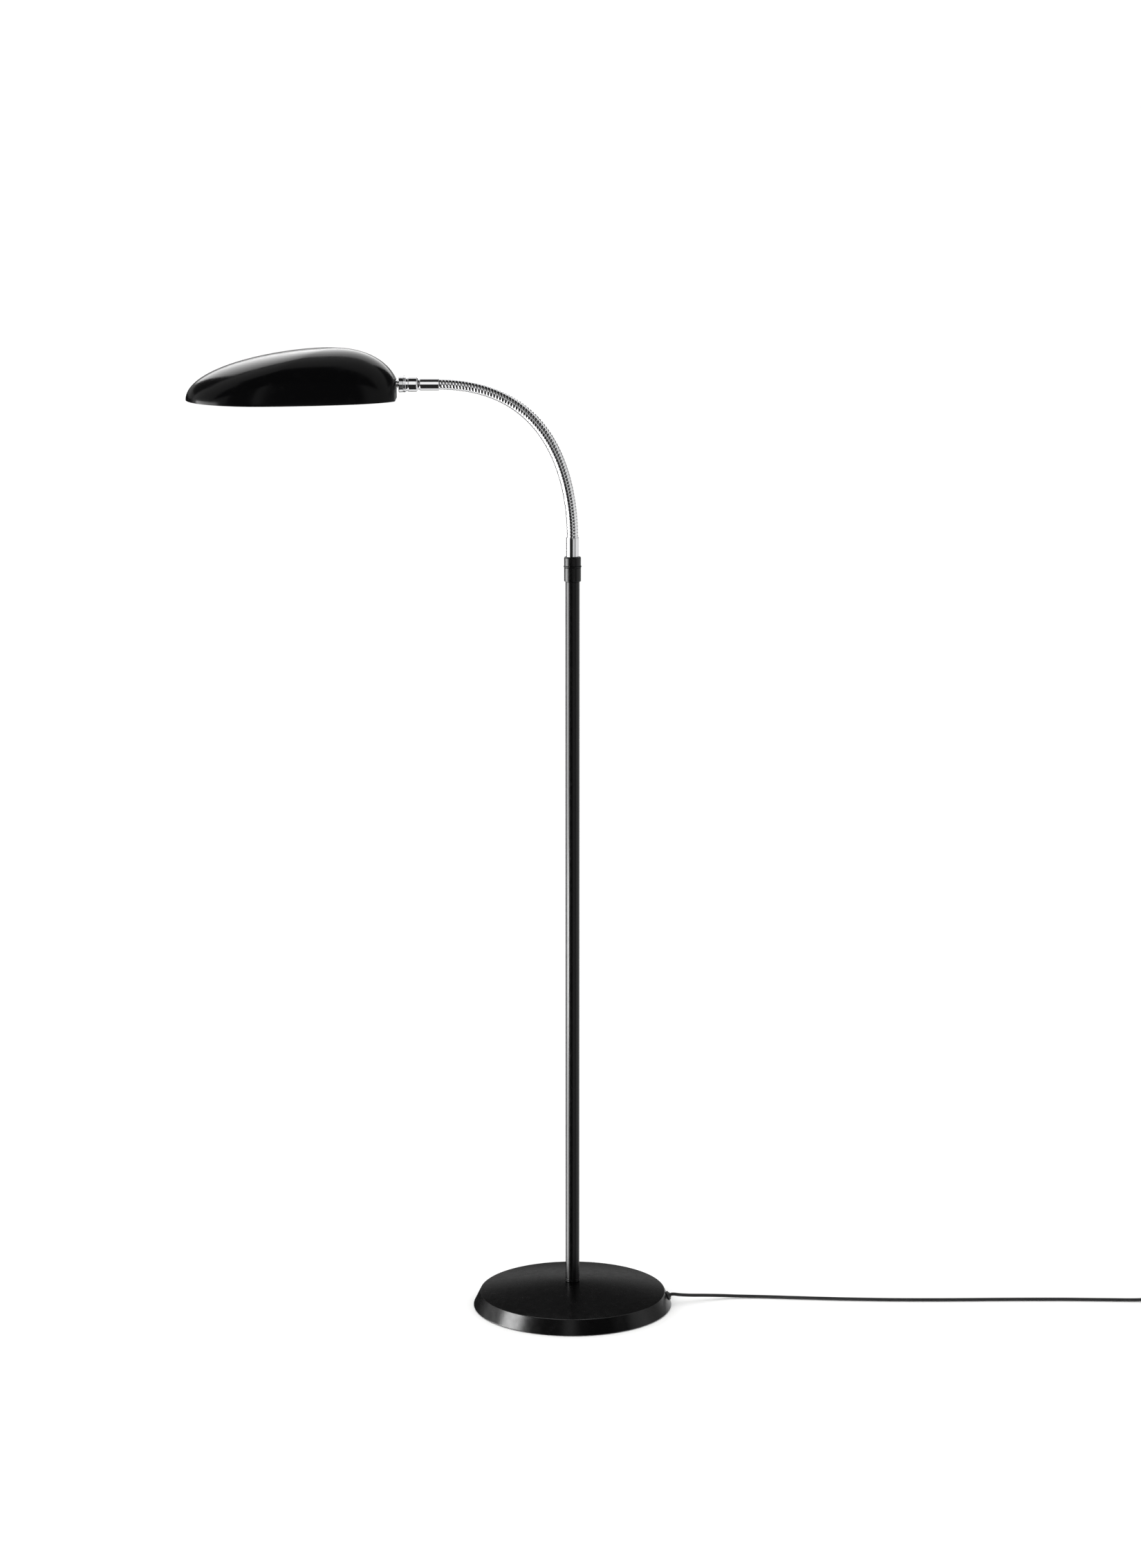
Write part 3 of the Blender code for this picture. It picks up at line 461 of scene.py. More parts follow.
def plated(name, color, low, high):
    """Polished plating with faint smears."""
    paint = Paint(name, color, low, 1.0)
    paint.gloss(paint.noise(60.0, 5.0, 0.6), low, high)
    haze = paint.spread(paint.noise(14.0, 3.0), 0.45, 0.8, 0.0, 0.12)
    paint.tint(haze, (0.62, 0.62, 0.64))
    return paint.material


def zinc(name):
    """Zinc-plated steel with a spangled, slightly dull face."""
    paint = Paint(name, (0.55, 0.55, 0.56), 0.34, 1.0)
    cells = paint.node("ShaderNodeTexVoronoi", Vector=paint.place(), Scale=420.0)
    paint.tint(paint.spread(cells.outputs["Distance"], 0.0, 0.9, 0.0, 0.5), (0.40, 0.41, 0.44))
    paint.gloss(paint.noise(120.0), 0.26, 0.46)
    return paint.material


def moulded(name, color, roughness, grain=900.0, depth=0.00003):
    """Moulded plastic with a fine spark-eroded texture."""
    paint = Paint(name, color, roughness)
    paint.bump(paint.noise(grain, 2.0), depth)
    paint.gloss(paint.noise(45.0, 4.0), roughness * 0.85, roughness * 1.15)
    lighter = tuple(min(1.0, c * 1.5 + 0.01) for c in color)
    paint.tint(paint.spread(paint.noise(25.0, 5.0), 0.45, 0.8, 0.0, 0.35), lighter)
    return paint.material


def felt():
    paint = Paint("felt", (0.030, 0.030, 0.031), 0.95, Sheen_Weight=0.4)
    paint.bump(paint.noise(1400.0, 6.0, 0.75), 0.0003)
    paint.tint(paint.spread(paint.noise(700.0, 6.0, 0.8), 0.4, 0.75), (0.085, 0.083, 0.080))
    return paint.material


def braid():
    """Black textile braid: two families of threads that cross on the slant, with painted shade in the dips
    between them.
    """
    paint = Paint("braid", (0.006, 0.006, 0.0065), 0.62, Sheen_Weight=0.10, Specular_IOR_Level=0.3)
    split = paint.node("ShaderNodeSeparateXYZ", Vector=paint.place("UV"))
    around = paint.math("MULTIPLY", split.outputs["X"], BRAID_THREADS / CORD_R)
    along = paint.math("MULTIPLY", split.outputs["Y"], 2 * math.pi / BRAID_PITCH)
    right = paint.math("SINE", paint.math("ADD", around, along))
    left = paint.math("SINE", paint.math("SUBTRACT", around, along))
    over = paint.math("MULTIPLY", right, left)
    height = paint.math("MAXIMUM", paint.math("ABSOLUTE", over), 0.12)
    fibres = paint.noise(5200.0, 2.0)
    paint.bump(paint.math("ADD", height, paint.math("MULTIPLY", fibres, 0.35)), 0.00022)
    # painted shade: the threads' crests are painted lighter and the dips where they cross darker
    paint.tint(paint.spread(height, 0.15, 1.0, 0.0, 0.65), (0.022, 0.022, 0.023))
    return paint.material


def glass():
    """Opal glass, white all through and glossy outside."""
    paint = Paint("opal_glass", (0.90, 0.89, 0.86), 0.12, Coat_Weight=0.5, Subsurface_Weight=0.15)
    paint.set("Subsurface Radius", (0.01, 0.01, 0.01))
    paint.tint(paint.spread(paint.noise(30.0), 0.4, 0.7, 0.0, 0.3), (0.84, 0.83, 0.80))
    return paint.material


BRAID_THREADS = 8
BRAID_PITCH = 0.0017

SATIN_BLACK = lacquer("satin_black", (0.0012, 0.0012, 0.0013), 0.21, 0.28, 1500.0, 0.000012,
                      Specular_IOR_Level=0.28)
GLOSS_BLACK = lacquer("gloss_black", (0.0016, 0.0016, 0.0018), 0.15, 0.20, 700.0, 0.000010,
                      Specular_IOR_Level=0.08)
SHADE_WHITE = lacquer("shade_white", (0.78, 0.78, 0.76), 0.42, 0.52, 1100.0, 0.00002)
CHROME = plated("chrome", (0.80, 0.80, 0.81), 0.045, 0.10)
BRASS = plated("brass", (0.74, 0.56, 0.27), 0.14, 0.26)
NICKEL = plated("nickel", (0.70, 0.68, 0.63), 0.12, 0.22)
ZINC = zinc("zinc")
BLACK_STEEL = plated("black_steel", (0.045, 0.045, 0.05), 0.25, 0.40)
IRON = moulded("cast_iron", (0.055, 0.055, 0.057), 0.7, 500.0, 0.0003)
BLACK_PLASTIC = moulded("black_plastic", (0.013, 0.013, 0.014), 0.40)
WHITE_PLASTIC = moulded("white_plastic", (0.80, 0.79, 0.75), 0.32, 700.0, 0.00001)
SHEATH = moulded("sheath", (0.015, 0.015, 0.016), 0.45, 2200.0)
STRAP = moulded("strap", (0.018, 0.018, 0.019), 0.85, 1600.0, 0.00012)
FELT = felt()
BRAID = braid()
OPAL = glass()


# ---------------- base and post
POST_R = 0.0095
SLEEVE_R = 0.0113
BORE_M10 = 0.0053


def black_turned(node, profile, body="stand", **look):
    """Black part turned about the post's axis, in place of its CAD node."""
    keep(lathe(f"{node}_finished", profile, SATIN_BLACK, **look), body, "black_paint", node)


def make_base():
    """Crowned cover with a rounded rim and a sloped side, on felt, round its iron weight."""
    low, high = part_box("base_cover")
    foot_r = high.x
    rim_r = 0.1281
    rim_z = 0.0206
    foot_z = low.z
    crown = high.z
    wall = 0.0016

    def dome(radius, drop=0.0):
        return radius, crown - (crown - rim_z) * (radius / rim_r) ** 1.7 - drop

    edge = 0.0011
    outside = [dome(BORE_M10 + (rim_r - edge * 1.6 - BORE_M10) * i / 40) for i in range(41)]
    outside += arc((rim_r - edge * 0.95, rim_z - edge * 0.95), edge, 72, 26, 6)
    outside += arc((foot_r - 0.0008, foot_z + 0.0008), 0.0008, 24, -60, 4)
    inside = [(foot_r - 1.2 * wall, foot_z), (rim_r - 1.2 * wall, rim_z - 1.5 * wall)]
    inside += [dome(BORE_M10 + (rim_r - 2.4 * wall - BORE_M10) * (1 - i / 12), wall) for i in range(13)]
    black_turned("base_cover", outside + inside, sides=256, crease=40)


def make_bushing():
    """Moulded bushing: a stepped round flange with a soft nose that the flex leaves by."""
    profile = [(0.0025, -0.0060), (0.0045, -0.0060), (0.0045, 0.0002)]
    profile += arc((0.0060, 0.0008), 0.0006, -90, 60, 5)
    profile += arc((0.0054, 0.0022), 0.0006, 40, 90, 3)
    profile += [(0.0043, 0.0029), (0.0041, 0.0034)]
    profile += arc((0.0035, 0.0036), 0.0005, 0, 110, 5)
    profile += [(0.0027, 0.0036), (0.0025, 0.0020)]
    bushing = lathe("cord_bushing_finished", profile, BLACK_PLASTIC, BUSHING_AT, SIDE_OUT, 64)
    keep(bushing, "stand", "black_plastic", "cord_bushing")


def make_post():
    """The tube with its bevelled ends, and the grooved ring at its foot."""
    low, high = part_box("post_tube")
    inner = POST_R - 0.0012
    black_turned("post_tube", [(inner, low.z), (POST_R - 0.0003, low.z), (POST_R, low.z + 0.0003),
                               (POST_R, high.z - 0.0004), (POST_R - 0.0004, high.z), (inner, high.z)])

    low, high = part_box("post_foot_ring")
    outer = 0.0098
    soft = 0.0004
    profile = [(BORE_M10, low.z)] + low_edge(outer, low.z, soft)
    profile += arc((outer - soft, low.z + 4 * soft), soft, 0, 70, 3)
    profile += [(outer - 0.0007, low.z + 0.0022)]
    profile += arc((outer - soft, low.z + 7 * soft), soft, -70, 0, 3)
    black_turned("post_foot_ring", profile + high_edge(outer, high.z, soft) + [(BORE_M10, high.z)])


def make_collar():
    """Sleeve on the post's head, a bead round it, and the cap that turns on it."""
    sleeve_bore = 0.0088
    soft = 0.0003
    low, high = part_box("collar_sleeve")
    profile = [(sleeve_bore, low.z)] + low_edge(SLEEVE_R, low.z, 0.0007, 4)
    black_turned("collar_sleeve", profile + high_edge(SLEEVE_R, high.z, soft) + [(sleeve_bore, high.z)])

    low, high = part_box("collar_ring")
    half = (high.z - low.z) / 2
    profile = [(BORE_M10, low.z)] + arc((0.0121 - half, low.z + half), half, -90, 90, 10)
    black_turned("collar_ring", profile + [(BORE_M10, high.z)])

    low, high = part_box("collar_cap")
    profile = [(BORE_M10, low.z)] + low_edge(SLEEVE_R, low.z, soft)
    profile += high_edge(SLEEVE_R, high.z, 0.0016, 8) + [(BORE_M10, high.z)]
    black_turned("collar_cap", profile, body="swivel")


# ---------------- gooseneck
HOSE_PITCH = 0.0043
HOSE_SIDES = 48
RIDGE_ROWS = 9
RIDGE_HEIGHT = 0.0006
HOSE_BORE_R = 0.0050
LEAD_R = 0.00205
HOSE_TUCK = (0.0120, 0.0080)   # past the lower and the upper end of the neck, in the ferrules
LEAD_TUCK = (0.0160, 0.0345)
NECK_JOINTS = sorted((j for j in frame["joints"] if j["name"].startswith("neck_")),
                     key=lambda j: j["pos_m"][2] - j["pos_m"][0])


def neck_line(steps=2000):
    """The neck's centre line with its arc lengths."""
    rise = NECK_START + UP * NECK_RISE
    reach = NECK_END + X_AXIS * NECK_REACH
    points = []
    for i in range(steps + 1):
        t = i / steps
        s = 1 - t
        points.append(NECK_START * s ** 3 + rise * 3 * s * s * t
                      + reach * 3 * s * t * t + NECK_END * t ** 3)
    return points, lengths_along(points)


LINE, LENGTHS = neck_line()
NECK_L = LENGTHS[-1]


def on_neck(length):
    """Point and direction on the centre line; it runs straight on past both ends."""
    if length <= 0:
        return NECK_START + UP * length, UP.copy()
    if length >= NECK_L:
        return NECK_END - X_AXIS * (length - NECK_L), -X_AXIS
    k = bisect.bisect_right(LENGTHS, length) - 1
    share = (length - LENGTHS[k]) / (LENGTHS[k + 1] - LENGTHS[k])
    ahead = (LINE[min(k + 2, len(LINE) - 1)] - LINE[max(k - 1, 0)]).normalized()
    return LINE[k].lerp(LINE[k + 1], share), ahead


def length_at(point):
    """Arc length of the centre line's place nearest to a point."""
    nearest = min(range(len(LINE)), key=lambda k: (LINE[k] - point).length)
    return LENGTHS[nearest]


def helix_skin(bm, rows, per_turn):
    """Grid of a surface wound round the neck: rows are (turn, radius), and the right edge of a
    row is the left edge of the row one turn on."""

    def vertex(turn, side, radius):
        centre, ahead = on_neck((turn + side / HOSE_SIDES) * HOSE_PITCH)
        angle = 2 * math.pi * side / HOSE_SIDES
        out = math.cos(angle) * Y_AXIS + math.sin(angle) * ahead.cross(Y_AXIS)
        return bm.verts.new(centre + radius * out)

    grid = [[vertex(turn, side, radius) for side in range(HOSE_SIDES)] for turn, radius in rows]
    for i, (turn, radius) in enumerate(rows):
        if i + per_turn < len(rows):
            grid[i].append(grid[i + per_turn][0])
        else:
            grid[i].append(vertex(turn, HOSE_SIDES, radius))
    for a, b in zip(grid, grid[1:]):
        for k in range(HOSE_SIDES):
            bm.faces.new((a[k], a[k + 1], b[k + 1], b[k]))
    return grid


def wound_hose(name, first, turns):
    """Whole turns of hose: round ridges wound on a helix outside, a plain bore inside."""
    bm = bmesh.new()
    rows = []
    for i in range(turns * RIDGE_ROWS + 1):
        turn, row = divmod(i, RIDGE_ROWS)
        share = (1 - math.cos(math.pi * row / RIDGE_ROWS)) / 2
        crest = math.sqrt(1 - abs(2 * share - 1) ** 4)
        rows.append((first + turn + share, HOSE_R - RIDGE_HEIGHT * (1 - crest)))
    outer = helix_skin(bm, rows, RIDGE_ROWS)
    inner = helix_skin(bm, [(first + turn, HOSE_BORE_R) for turn in range(turns + 1)], 1)
    for end in (0, -1):
        for k in range(HOSE_SIDES):
            bm.faces.new((outer[end][k], outer[end][k + 1], inner[end][k + 1], inner[end][k]))
    bm.faces.new([outer[i][0] for i in range(RIDGE_ROWS + 1)] + [inner[1][0], inner[0][0]])
    last = [outer[i][-1] for i in range(-RIDGE_ROWS - 1, 0)]
    bm.faces.new([*last, inner[-1][-1], inner[-2][-1]])
    return new_piece(name, bm, CHROME, crease=70)


def make_hose():
    """Hose and lead in one length per bend, wound along the neck's centre line.  A length runs between its
    own first and last winding, so that the seams meet."""
    hinges = [length_at(Vector(j["pos_m"])) for j in NECK_JOINTS]
    reach = (hinges[1] - hinges[0]) / 2
    seams = [round((hinge - reach) / HOSE_PITCH) for hinge in hinges]
    seams[0] = round(-HOSE_TUCK[0] / HOSE_PITCH)
    seams.append(round((NECK_L + HOSE_TUCK[1]) / HOSE_PITCH))
    for i, (joint, hinge) in enumerate(zip(NECK_JOINTS, hinges)):
        start = on_neck(hinge - reach + 1.2 * HOSE_PITCH)[0]
        end = on_neck(hinge + reach - 0.5 * HOSE_PITCH)[0]
        hose = wound_hose(f"gooseneck_hose_{i + 1}", seams[i], seams[i + 1] - seams[i])
        low = -LEAD_TUCK[0] if i == 0 else seams[i] * HOSE_PITCH
        high = NECK_L + LEAD_TUCK[1] if i == len(hinges) - 1 else seams[i + 1] * HOSE_PITCH
        line = [on_neck(low + (high - low) * k / 16)[0] for k in range(17)]
        lead = tube(f"gooseneck_lead_{i + 1}", line, LEAD_R, SHEATH)
        for piece, slot in ((hose, "chrome"), (lead, "lead_sheath")):
            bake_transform(piece)
        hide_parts(f"hose_{i:02d}", f"hose_{i + 1:02d}")
        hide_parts("neck_lead")


# ---------------- ferrules and head
HEAD_AT = Vector((0, 0, HEAD_Z))
FERRULE_R = 0.0085
MOUTH_R = HOSE_R + 0.0003
GROOVE_START = 0.2031          # from the post, as every height on the head's axis
GROOVE_END = 0.2047
GROOVE_R = 0.0073
SCREW_DROP = math.radians(25)
KNURL_TEETH = 44
KNURL_DEPTH = 0.0005


def head_turned(name, profile, material, crease=35):
    """Turned about the head's axis; its heights are distances from the post."""
    return lathe(name, profile, material, HEAD_AT, -X_AXIS, crease=crease)


def make_lower_ferrule():
    low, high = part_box("neck_lower_ferrule")
    lip = 0.0006
    profile = [(BORE_M10, low.z)] + low_edge(FERRULE_R, low.z, lip, 5)
    profile += high_edge(FERRULE_R, high.z, lip / 2, 4)
    profile += [(MOUTH_R, high.z), (MOUTH_R, low.z + 0.0110), (BORE_M10, low.z + 0.0080)]
    keep(lathe("lower_ferrule_finished", profile, CHROME), "swivel", "chrome", "neck_lower_ferrule")


def make_set_screw(at, outward):
    """Socket set screw, sunk in its hole in the ferrule."""
    radius = 0.00075
    socket_r = 0.00045
    socket = [(0, 0.0047), (radius, 0.0047), (radius, 0.0066), (radius - 0.0001, 0.0067),
              (socket_r, 0.0067), (socket_r, 0.0060), (0, 0.0058)]
    set_screw = lathe("set_screw_finished", socket, BLACK_STEEL, at, outward, 24)
    keep(set_screw, "tip", "steel", "head_set_screw")


def make_upper_ferrule():
    """Ferrule whose front steps down to a groove with a socket set screw below the axis."""
    back = -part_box("neck_upper_ferrule")[1].x
    lip = 0.0003
    profile = [(MOUTH_R, back)] + low_edge(FERRULE_R, back, lip, 4)
    profile += arc((FERRULE_R - 0.0006, GROOVE_START - 0.0010), 0.0006, 0, 70, 5)
    profile += [(GROOVE_R + 0.0002, GROOVE_START), (GROOVE_R, GROOVE_START + 0.0003),
                (GROOVE_R, GROOVE_END - 0.0001), (0.0045, GROOVE_END - 0.0001),
                (0.0045, back + 0.0155), (MOUTH_R, back + 0.0130)]
    ferrule = head_turned("upper_ferrule_finished", profile, CHROME)
    at = HEAD_AT - X_AXIS * (GROOVE_START + GROOVE_END) / 2
    outward = Vector((0, -math.cos(SCREW_DROP), -math.sin(SCREW_DROP)))
    drill(ferrule, 0.00085, 0.0046, 0.0090, at, outward, 24)
    keep(ferrule, "tip", "chrome", "neck_upper_ferrule")
    make_set_screw(at, outward)


def make_coupling():
    """Chrome coupling: a wide collar with a long chamfer, then the nose that the nut turns on."""
    wide = 0.0103
    end = 0.2181
    profile = [(0.0030, 0.1950), (0.0042, 0.1950), (0.0042, GROOVE_END), (GROOVE_R, GROOVE_END)]
    profile += [(GROOVE_R + 0.0006, GROOVE_END + 0.0002)]
    profile += arc((wide - 0.0010, GROOVE_END + 0.0026), 0.0010, -52, 0, 5)
    profile += arc((wide - 0.0005, end - 0.0006), 0.0005, 0, 75, 4)
    profile += [(0.0096, end), (0.0093, end + 0.0003), (0.0093, 0.2240), (0.0085, 0.2240),
                (0.0085, 0.2125), (0.0030, 0.2125)]
    coupling = head_turned("joint_coupling_finished", profile, CHROME)
    keep(coupling, "tip", "chrome", "joint_coupling")


def make_nut():
    """Friction nut: a barrel with a knurled band near its back and a chamfered face."""
    low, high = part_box("joint_nut")
    back = -high.x
    face = -low.x
    outer = size_of("joint_nut").z / 2
    band = [back + 0.0008, back + 0.0036]
    profile = [(0.0096, back), (outer - 0.0007, back), (outer - 0.0004, back + 0.0003),
               (outer - 0.0004, band[0] - 0.0002), (outer - 0.0008, band[0]), (outer - 0.0008, band[1]),
               (outer - 0.0002, band[1] + 0.0003)]
    profile += arc((outer - 0.0011, face - 0.0011), 0.0011, 0, 55, 6)
    profile += [(0.0082, face), (0.0078, face - 0.0002), (0.0066, face - 0.0022),
                (0.0070, face - 0.0029), (0.0080, face - 0.0046), (0.0096, face - 0.0046)]
    nut = head_turned("joint_nut_finished", profile, CHROME)
    keep(nut, "tip", "chrome", "joint_nut")

    low_r = outer - 0.00055
    rows = [(low_r, band[0] + 0.0001, 0), (low_r, band[0] + 0.0004, KNURL_DEPTH),
            (low_r, band[1] - 0.0004, KNURL_DEPTH), (low_r, band[1] - 0.0001, 0),
            (outer - 0.0012, band[1] - 0.0001, 0), (outer - 0.0012, band[0] + 0.0001, 0)]
    keep(ribbed("joint_nut_knurl", rows, KNURL_TEETH, CHROME, HEAD_AT, -X_AXIS), "tip", "chrome")


def make_ball_joint():
    """Ball in its cup, with the shouldered stem that carries the shade."""
    ball_r = size_of("ball_stem").y / 2
    ball_x = -joint_at("shade_tilt").x
    bore = 0.0023
    neck = 0.0045
    bead = 0.0052
    shoulder = 0.0056
    thread_r = 0.0034
    first = math.degrees(math.asin(bore / ball_r)) - 90
    last = 90 - math.degrees(math.asin(neck / ball_r))
    profile = arc((0, ball_x), ball_r, first, last, 24)
    profile += [(neck, 0.2319), (neck + 0.0003, 0.2322)]
    profile += arc((bead, 0.2327), 0.0004, -60, 90, 5)
    profile += [(bead, 0.2334), (shoulder, 0.2336), (shoulder, 0.2342), (thread_r, 0.2342)]
    profile += thread(thread_r, thread_r - 0.0003, 0.2350, 0.0011, 9)
    profile += [(thread_r - 0.0001, 0.2455), (bore, 0.2455)]
    stem = head_turned("ball_stem_finished", profile, CHROME, crease=30)
    keep(stem, "stem", "chrome", "ball_stem")


# ---------------- shade
SHADE_LOW, SHADE_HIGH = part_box("shade_shell")
SHADE_TIP_X = SHADE_LOW.x
SHADE_REAR_X = SHADE_HIGH.x
SHADE_RIM_Z = SHADE_LOW.z
SHADE_H = SHADE_HIGH.z - SHADE_LOW.z
SHADE_HALF_W = SHADE_HIGH.y
SHADE_CROWN_X = -0.3180
SHADE_WIDEST = 0.35
SHADE_REAR_SPARE = 0.0060
SHADE_WALL = 0.0014
STEM_HOLE_R = 0.0037


def superellipse(share, power, other):
    """The other coordinate of |a|^power + |b|^other = 1, for a = share."""
    return max(0.0, 1 - share ** power) ** (1 / other)


def shade_ring(level, inset, lift=0.0, count=192):
    """Level outline of the shade at a share of its height, inset by the wall."""
    front_reach = SHADE_CROWN_X - SHADE_TIP_X - inset
    rear_flat = SHADE_REAR_X - inset
    rear_reach = SHADE_REAR_X + SHADE_REAR_SPARE - SHADE_CROWN_X - inset
    front = SHADE_CROWN_X - front_reach * superellipse(level, 2.05, 1.7)
    rear = SHADE_CROWN_X + rear_reach * superellipse(level, 2.2, 2.2)
    half_w = (SHADE_HALF_W - inset) * superellipse(level, 2.3, 2.3)
    widest = front + SHADE_WIDEST * (rear - front)
    ring = []
    for i in range(count):
        angle = 2 * math.pi * i / count
        along = abs(math.cos(angle))
        across = math.sin(angle)
        if math.cos(angle) < 0:
            point = (widest - (widest - front) * along, half_w * across)
        else:
            bent = along ** 1.35
            edge = math.copysign(superellipse(bent, 1.55, 2.4), across)
            point = (min(widest + (rear - widest) * bent, rear_flat), half_w * edge)
        ring.append((*point, SHADE_RIM_Z + (SHADE_H - inset) * level + lift))
    return ring


def make_shade():
    """Pressed hood: black outside and white inside, with a rounded bare edge."""
    levels = 44
    shares = [math.sin(math.pi / 2 * i / levels) for i in range(levels)]
    hem = 0.0004
    outside = [(share, 0.0, hem if share == 0 else 0.0) for share in reversed(shares)]
    edge = [(0, hem / 4, hem / 4), (0, hem, 0), (0, SHADE_WALL - hem, 0),
            (0, SHADE_WALL - hem / 4, hem / 4)]
    inside = [(share, SHADE_WALL, hem if share == 0 else 0.0) for share in shares]
    bm = bmesh.new()
    rings = [[bm.verts.new(p) for p in shade_ring(*row)] for row in outside + edge + inside]
    white_from = len(outside) + len(edge)
    for i, face in enumerate(bridge(bm, rings)):
        face.material_index = int(i >= white_from * len(rings[0]))
    for ring, inset in ((rings[0], 0.0), (rings[-1], SHADE_WALL)):
        crown = bm.verts.new((SHADE_CROWN_X, 0, SHADE_RIM_Z + SHADE_H - inset))
        for k in range(len(ring)):
            face = bm.faces.new((ring[k], ring[(k + 1) % len(ring)], crown))
            face.material_index = int(inset > 0)
    shell = new_piece("shade_finished", bm, GLOSS_BLACK, SHADE_WHITE, crease=50)
    drill(shell, STEM_HOLE_R, 0.2300, 0.2400, HEAD_AT, -X_AXIS, 48)
    keep(shell, "shade", "shade_paint", "shade_shell")

    boss = [(0.0060, 0.2350), (0.0060, 0.2342), (0.0062, 0.2340)]
    boss += arc((0.0074, 0.2346), 0.0006, -90, 0, 6) + [(0.0080, 0.2350)]
    keep(head_turned("shade_stem_boss", boss, GLOSS_BLACK), "shade", "shade_paint")


# ---------------- lampholder and bulb
HOLDER_BACK = -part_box("lampholder_body")[1].x
HOLDER_AT = Vector((0, 0, middle("lampholder_body").z))
HOLDER_R = size_of("lampholder_body").y / 2
BULB_R = size_of("bulb_glass").y / 2


def lamp_turned(name, profile, material, crease=35):
    """Turned about the bulb's axis; its heights are distances from the post."""
    return lathe(name, profile, material, HOLDER_AT, -X_AXIS, crease=crease)


def make_lampholder():
    """Moulded lampholder with a threaded skirt and a ribbed ring screwed on it."""
    back = HOLDER_BACK
    profile = [(0.0021, back), (HOLDER_R - 0.0025, back)]
    profile += arc((HOLDER_R - 0.0015, back + 0.0028), 0.0015, -50, 0, 5)
    profile += [(HOLDER_R, back + 0.0085), (HOLDER_R - 0.0005, back + 0.0090),
                (HOLDER_R - 0.0005, back + 0.0100), (HOLDER_R, back + 0.0105)]
    profile += thread(HOLDER_R, HOLDER_R - 0.0007, back + 0.0150, 0.0020, 12)
    mouth = back + 0.0400
    profile += high_edge(HOLDER_R, mouth, 0.0006, 4)
    profile += [(0.0100, mouth), (0.0100, back + 0.0042), (0.0021, back + 0.0042)]
    body = lamp_turned("lampholder_finished", profile, WHITE_PLASTIC)
    keep(body, "shade", "white_plastic", "lampholder_body")

    low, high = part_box("lampholder_ring")
    outer = (high.z - low.z) / 2
    rows = [(HOLDER_R + 0.0003, -high.x, 0), (outer - 0.0008, -high.x, 0),
            (outer - 0.0006, -high.x + 0.0004, 0.0004), (outer - 0.0006, -low.x - 0.0004, 0.0004),
            (outer - 0.0008, -low.x, 0), (HOLDER_R + 0.0003, -low.x, 0)]
    ring = ribbed("lampholder_ring_finished", rows, 36, WHITE_PLASTIC, HOLDER_AT, -X_AXIS)
    keep(ring, "shade", "white_plastic", "lampholder_ring")


def make_bulb():
    """Small opal globe with its neck blended into a threaded cap."""
    centre = -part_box("bulb_glass")[0].x - BULB_R
    mouth = -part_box("bulb_glass")[1].x
    wall = 0.0008

    def skin(depth):
        """Crown to mouth, at a depth under the outer face."""
        globe = arc((0, centre), BULB_R - depth, 90, -52, 40)[1:]
        neck = arc((0.0190, centre - 0.0237), 0.0080 + depth, 136, 175, 8)
        return [(0, centre + BULB_R - depth), *globe, *neck, (0.0092 - depth, mouth)]

    bulb = lamp_turned("bulb_glass_finished", skin(0) + skin(wall)[::-1], OPAL, crease=60)
    keep(bulb, "shade", "opal_glass", "bulb_glass")

    low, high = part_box("bulb_cap")
    outer = (high.z - low.z) / 2
    contact = 0.0026
    start = -high.x
    profile = [(0, start), (contact - 0.0004, start), (contact, start + 0.0006),
               (contact, start + 0.0012), (0.0050, start + 0.0022), (outer - 0.0006, start + 0.0030)]
    for turn in range(6):
        height = start + 0.0040 + 0.0028 * turn
        profile += arc((outer - 0.0007, height + 0.0008), 0.0007, -80, 80, 5)
        profile += [(outer - 0.0009, height + 0.0022)]
    profile += [(outer, start + 0.0215), (outer, -low.x), (0, -low.x)]
    cap = lamp_turned("bulb_cap_finished", profile, NICKEL, crease=40)
    keep(cap, "shade", "brass", "bulb_cap")


def bent_strip(name, line, half_w, thick, material):
    """Flat strip of sheet bent along a line in the plane of the head, with round corners."""
    bm = bmesh.new()
    rings = []
    for i, point in enumerate(line):
        ahead = (line[min(i + 1, len(line) - 1)] - line[max(i - 1, 0)]).normalized()
        out = ahead.cross(Y_AXIS) * thick / 2
        across = Y_AXIS * half_w
        rings.append([bm.verts.new(point + out * a + across * b)
                      for a, b in ((-1, -1), (1, -1), (1, 1), (-1, 1))])
    bridge_and_close(bm, rings)
    bmesh.ops.recalc_face_normals(bm, faces=bm.faces[:])
    sharp = [e for e in bm.edges if len(e.link_faces) == 2 and e.calc_face_angle() > 1.2]
    bmesh.ops.bevel(bm, geom=sharp, offset=0.00022, segments=2, affect="EDGES")
    return new_piece(name, bm, material)


def make_bracket():
    """Pressed strip from the stem's nut to the back of the lampholder, pierced for both."""
    low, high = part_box("holder_bracket")
    thick = 0.0012
    bend = 0.0026
    inset = thick / 2
    rear_top = 0.0055
    line = [Vector((high.x - inset, 0, HEAD_Z + rear_top - 0.001 * k)) for k in range(3)]
    for x, first in ((high.x - inset - bend, 0), (low.x + inset + bend, -90)):
        line += [Vector((x + r, 0, z)) for r, z in
                 arc((0, low.z + inset + bend), bend, first, first - 90, 8)]
    line.append(Vector((low.x + inset, 0, high.z)))
    strip = bent_strip("holder_bracket_finished", line, size_of("holder_bracket").y / 2, thick, ZINC)
    screw_at = Vector((0, middle("holder_screw").y, HOLDER_AT.z))
    drill(strip, STEM_HOLE_R, 0.2350, 0.2400, HEAD_AT, -X_AXIS)
    drill(strip, 0.0021, 0.2570, 0.2620, HOLDER_AT, -X_AXIS)
    drill(strip, 0.0015, 0.2570, 0.2620, screw_at, -X_AXIS)
    keep(strip, "shade", "steel", "holder_bracket")


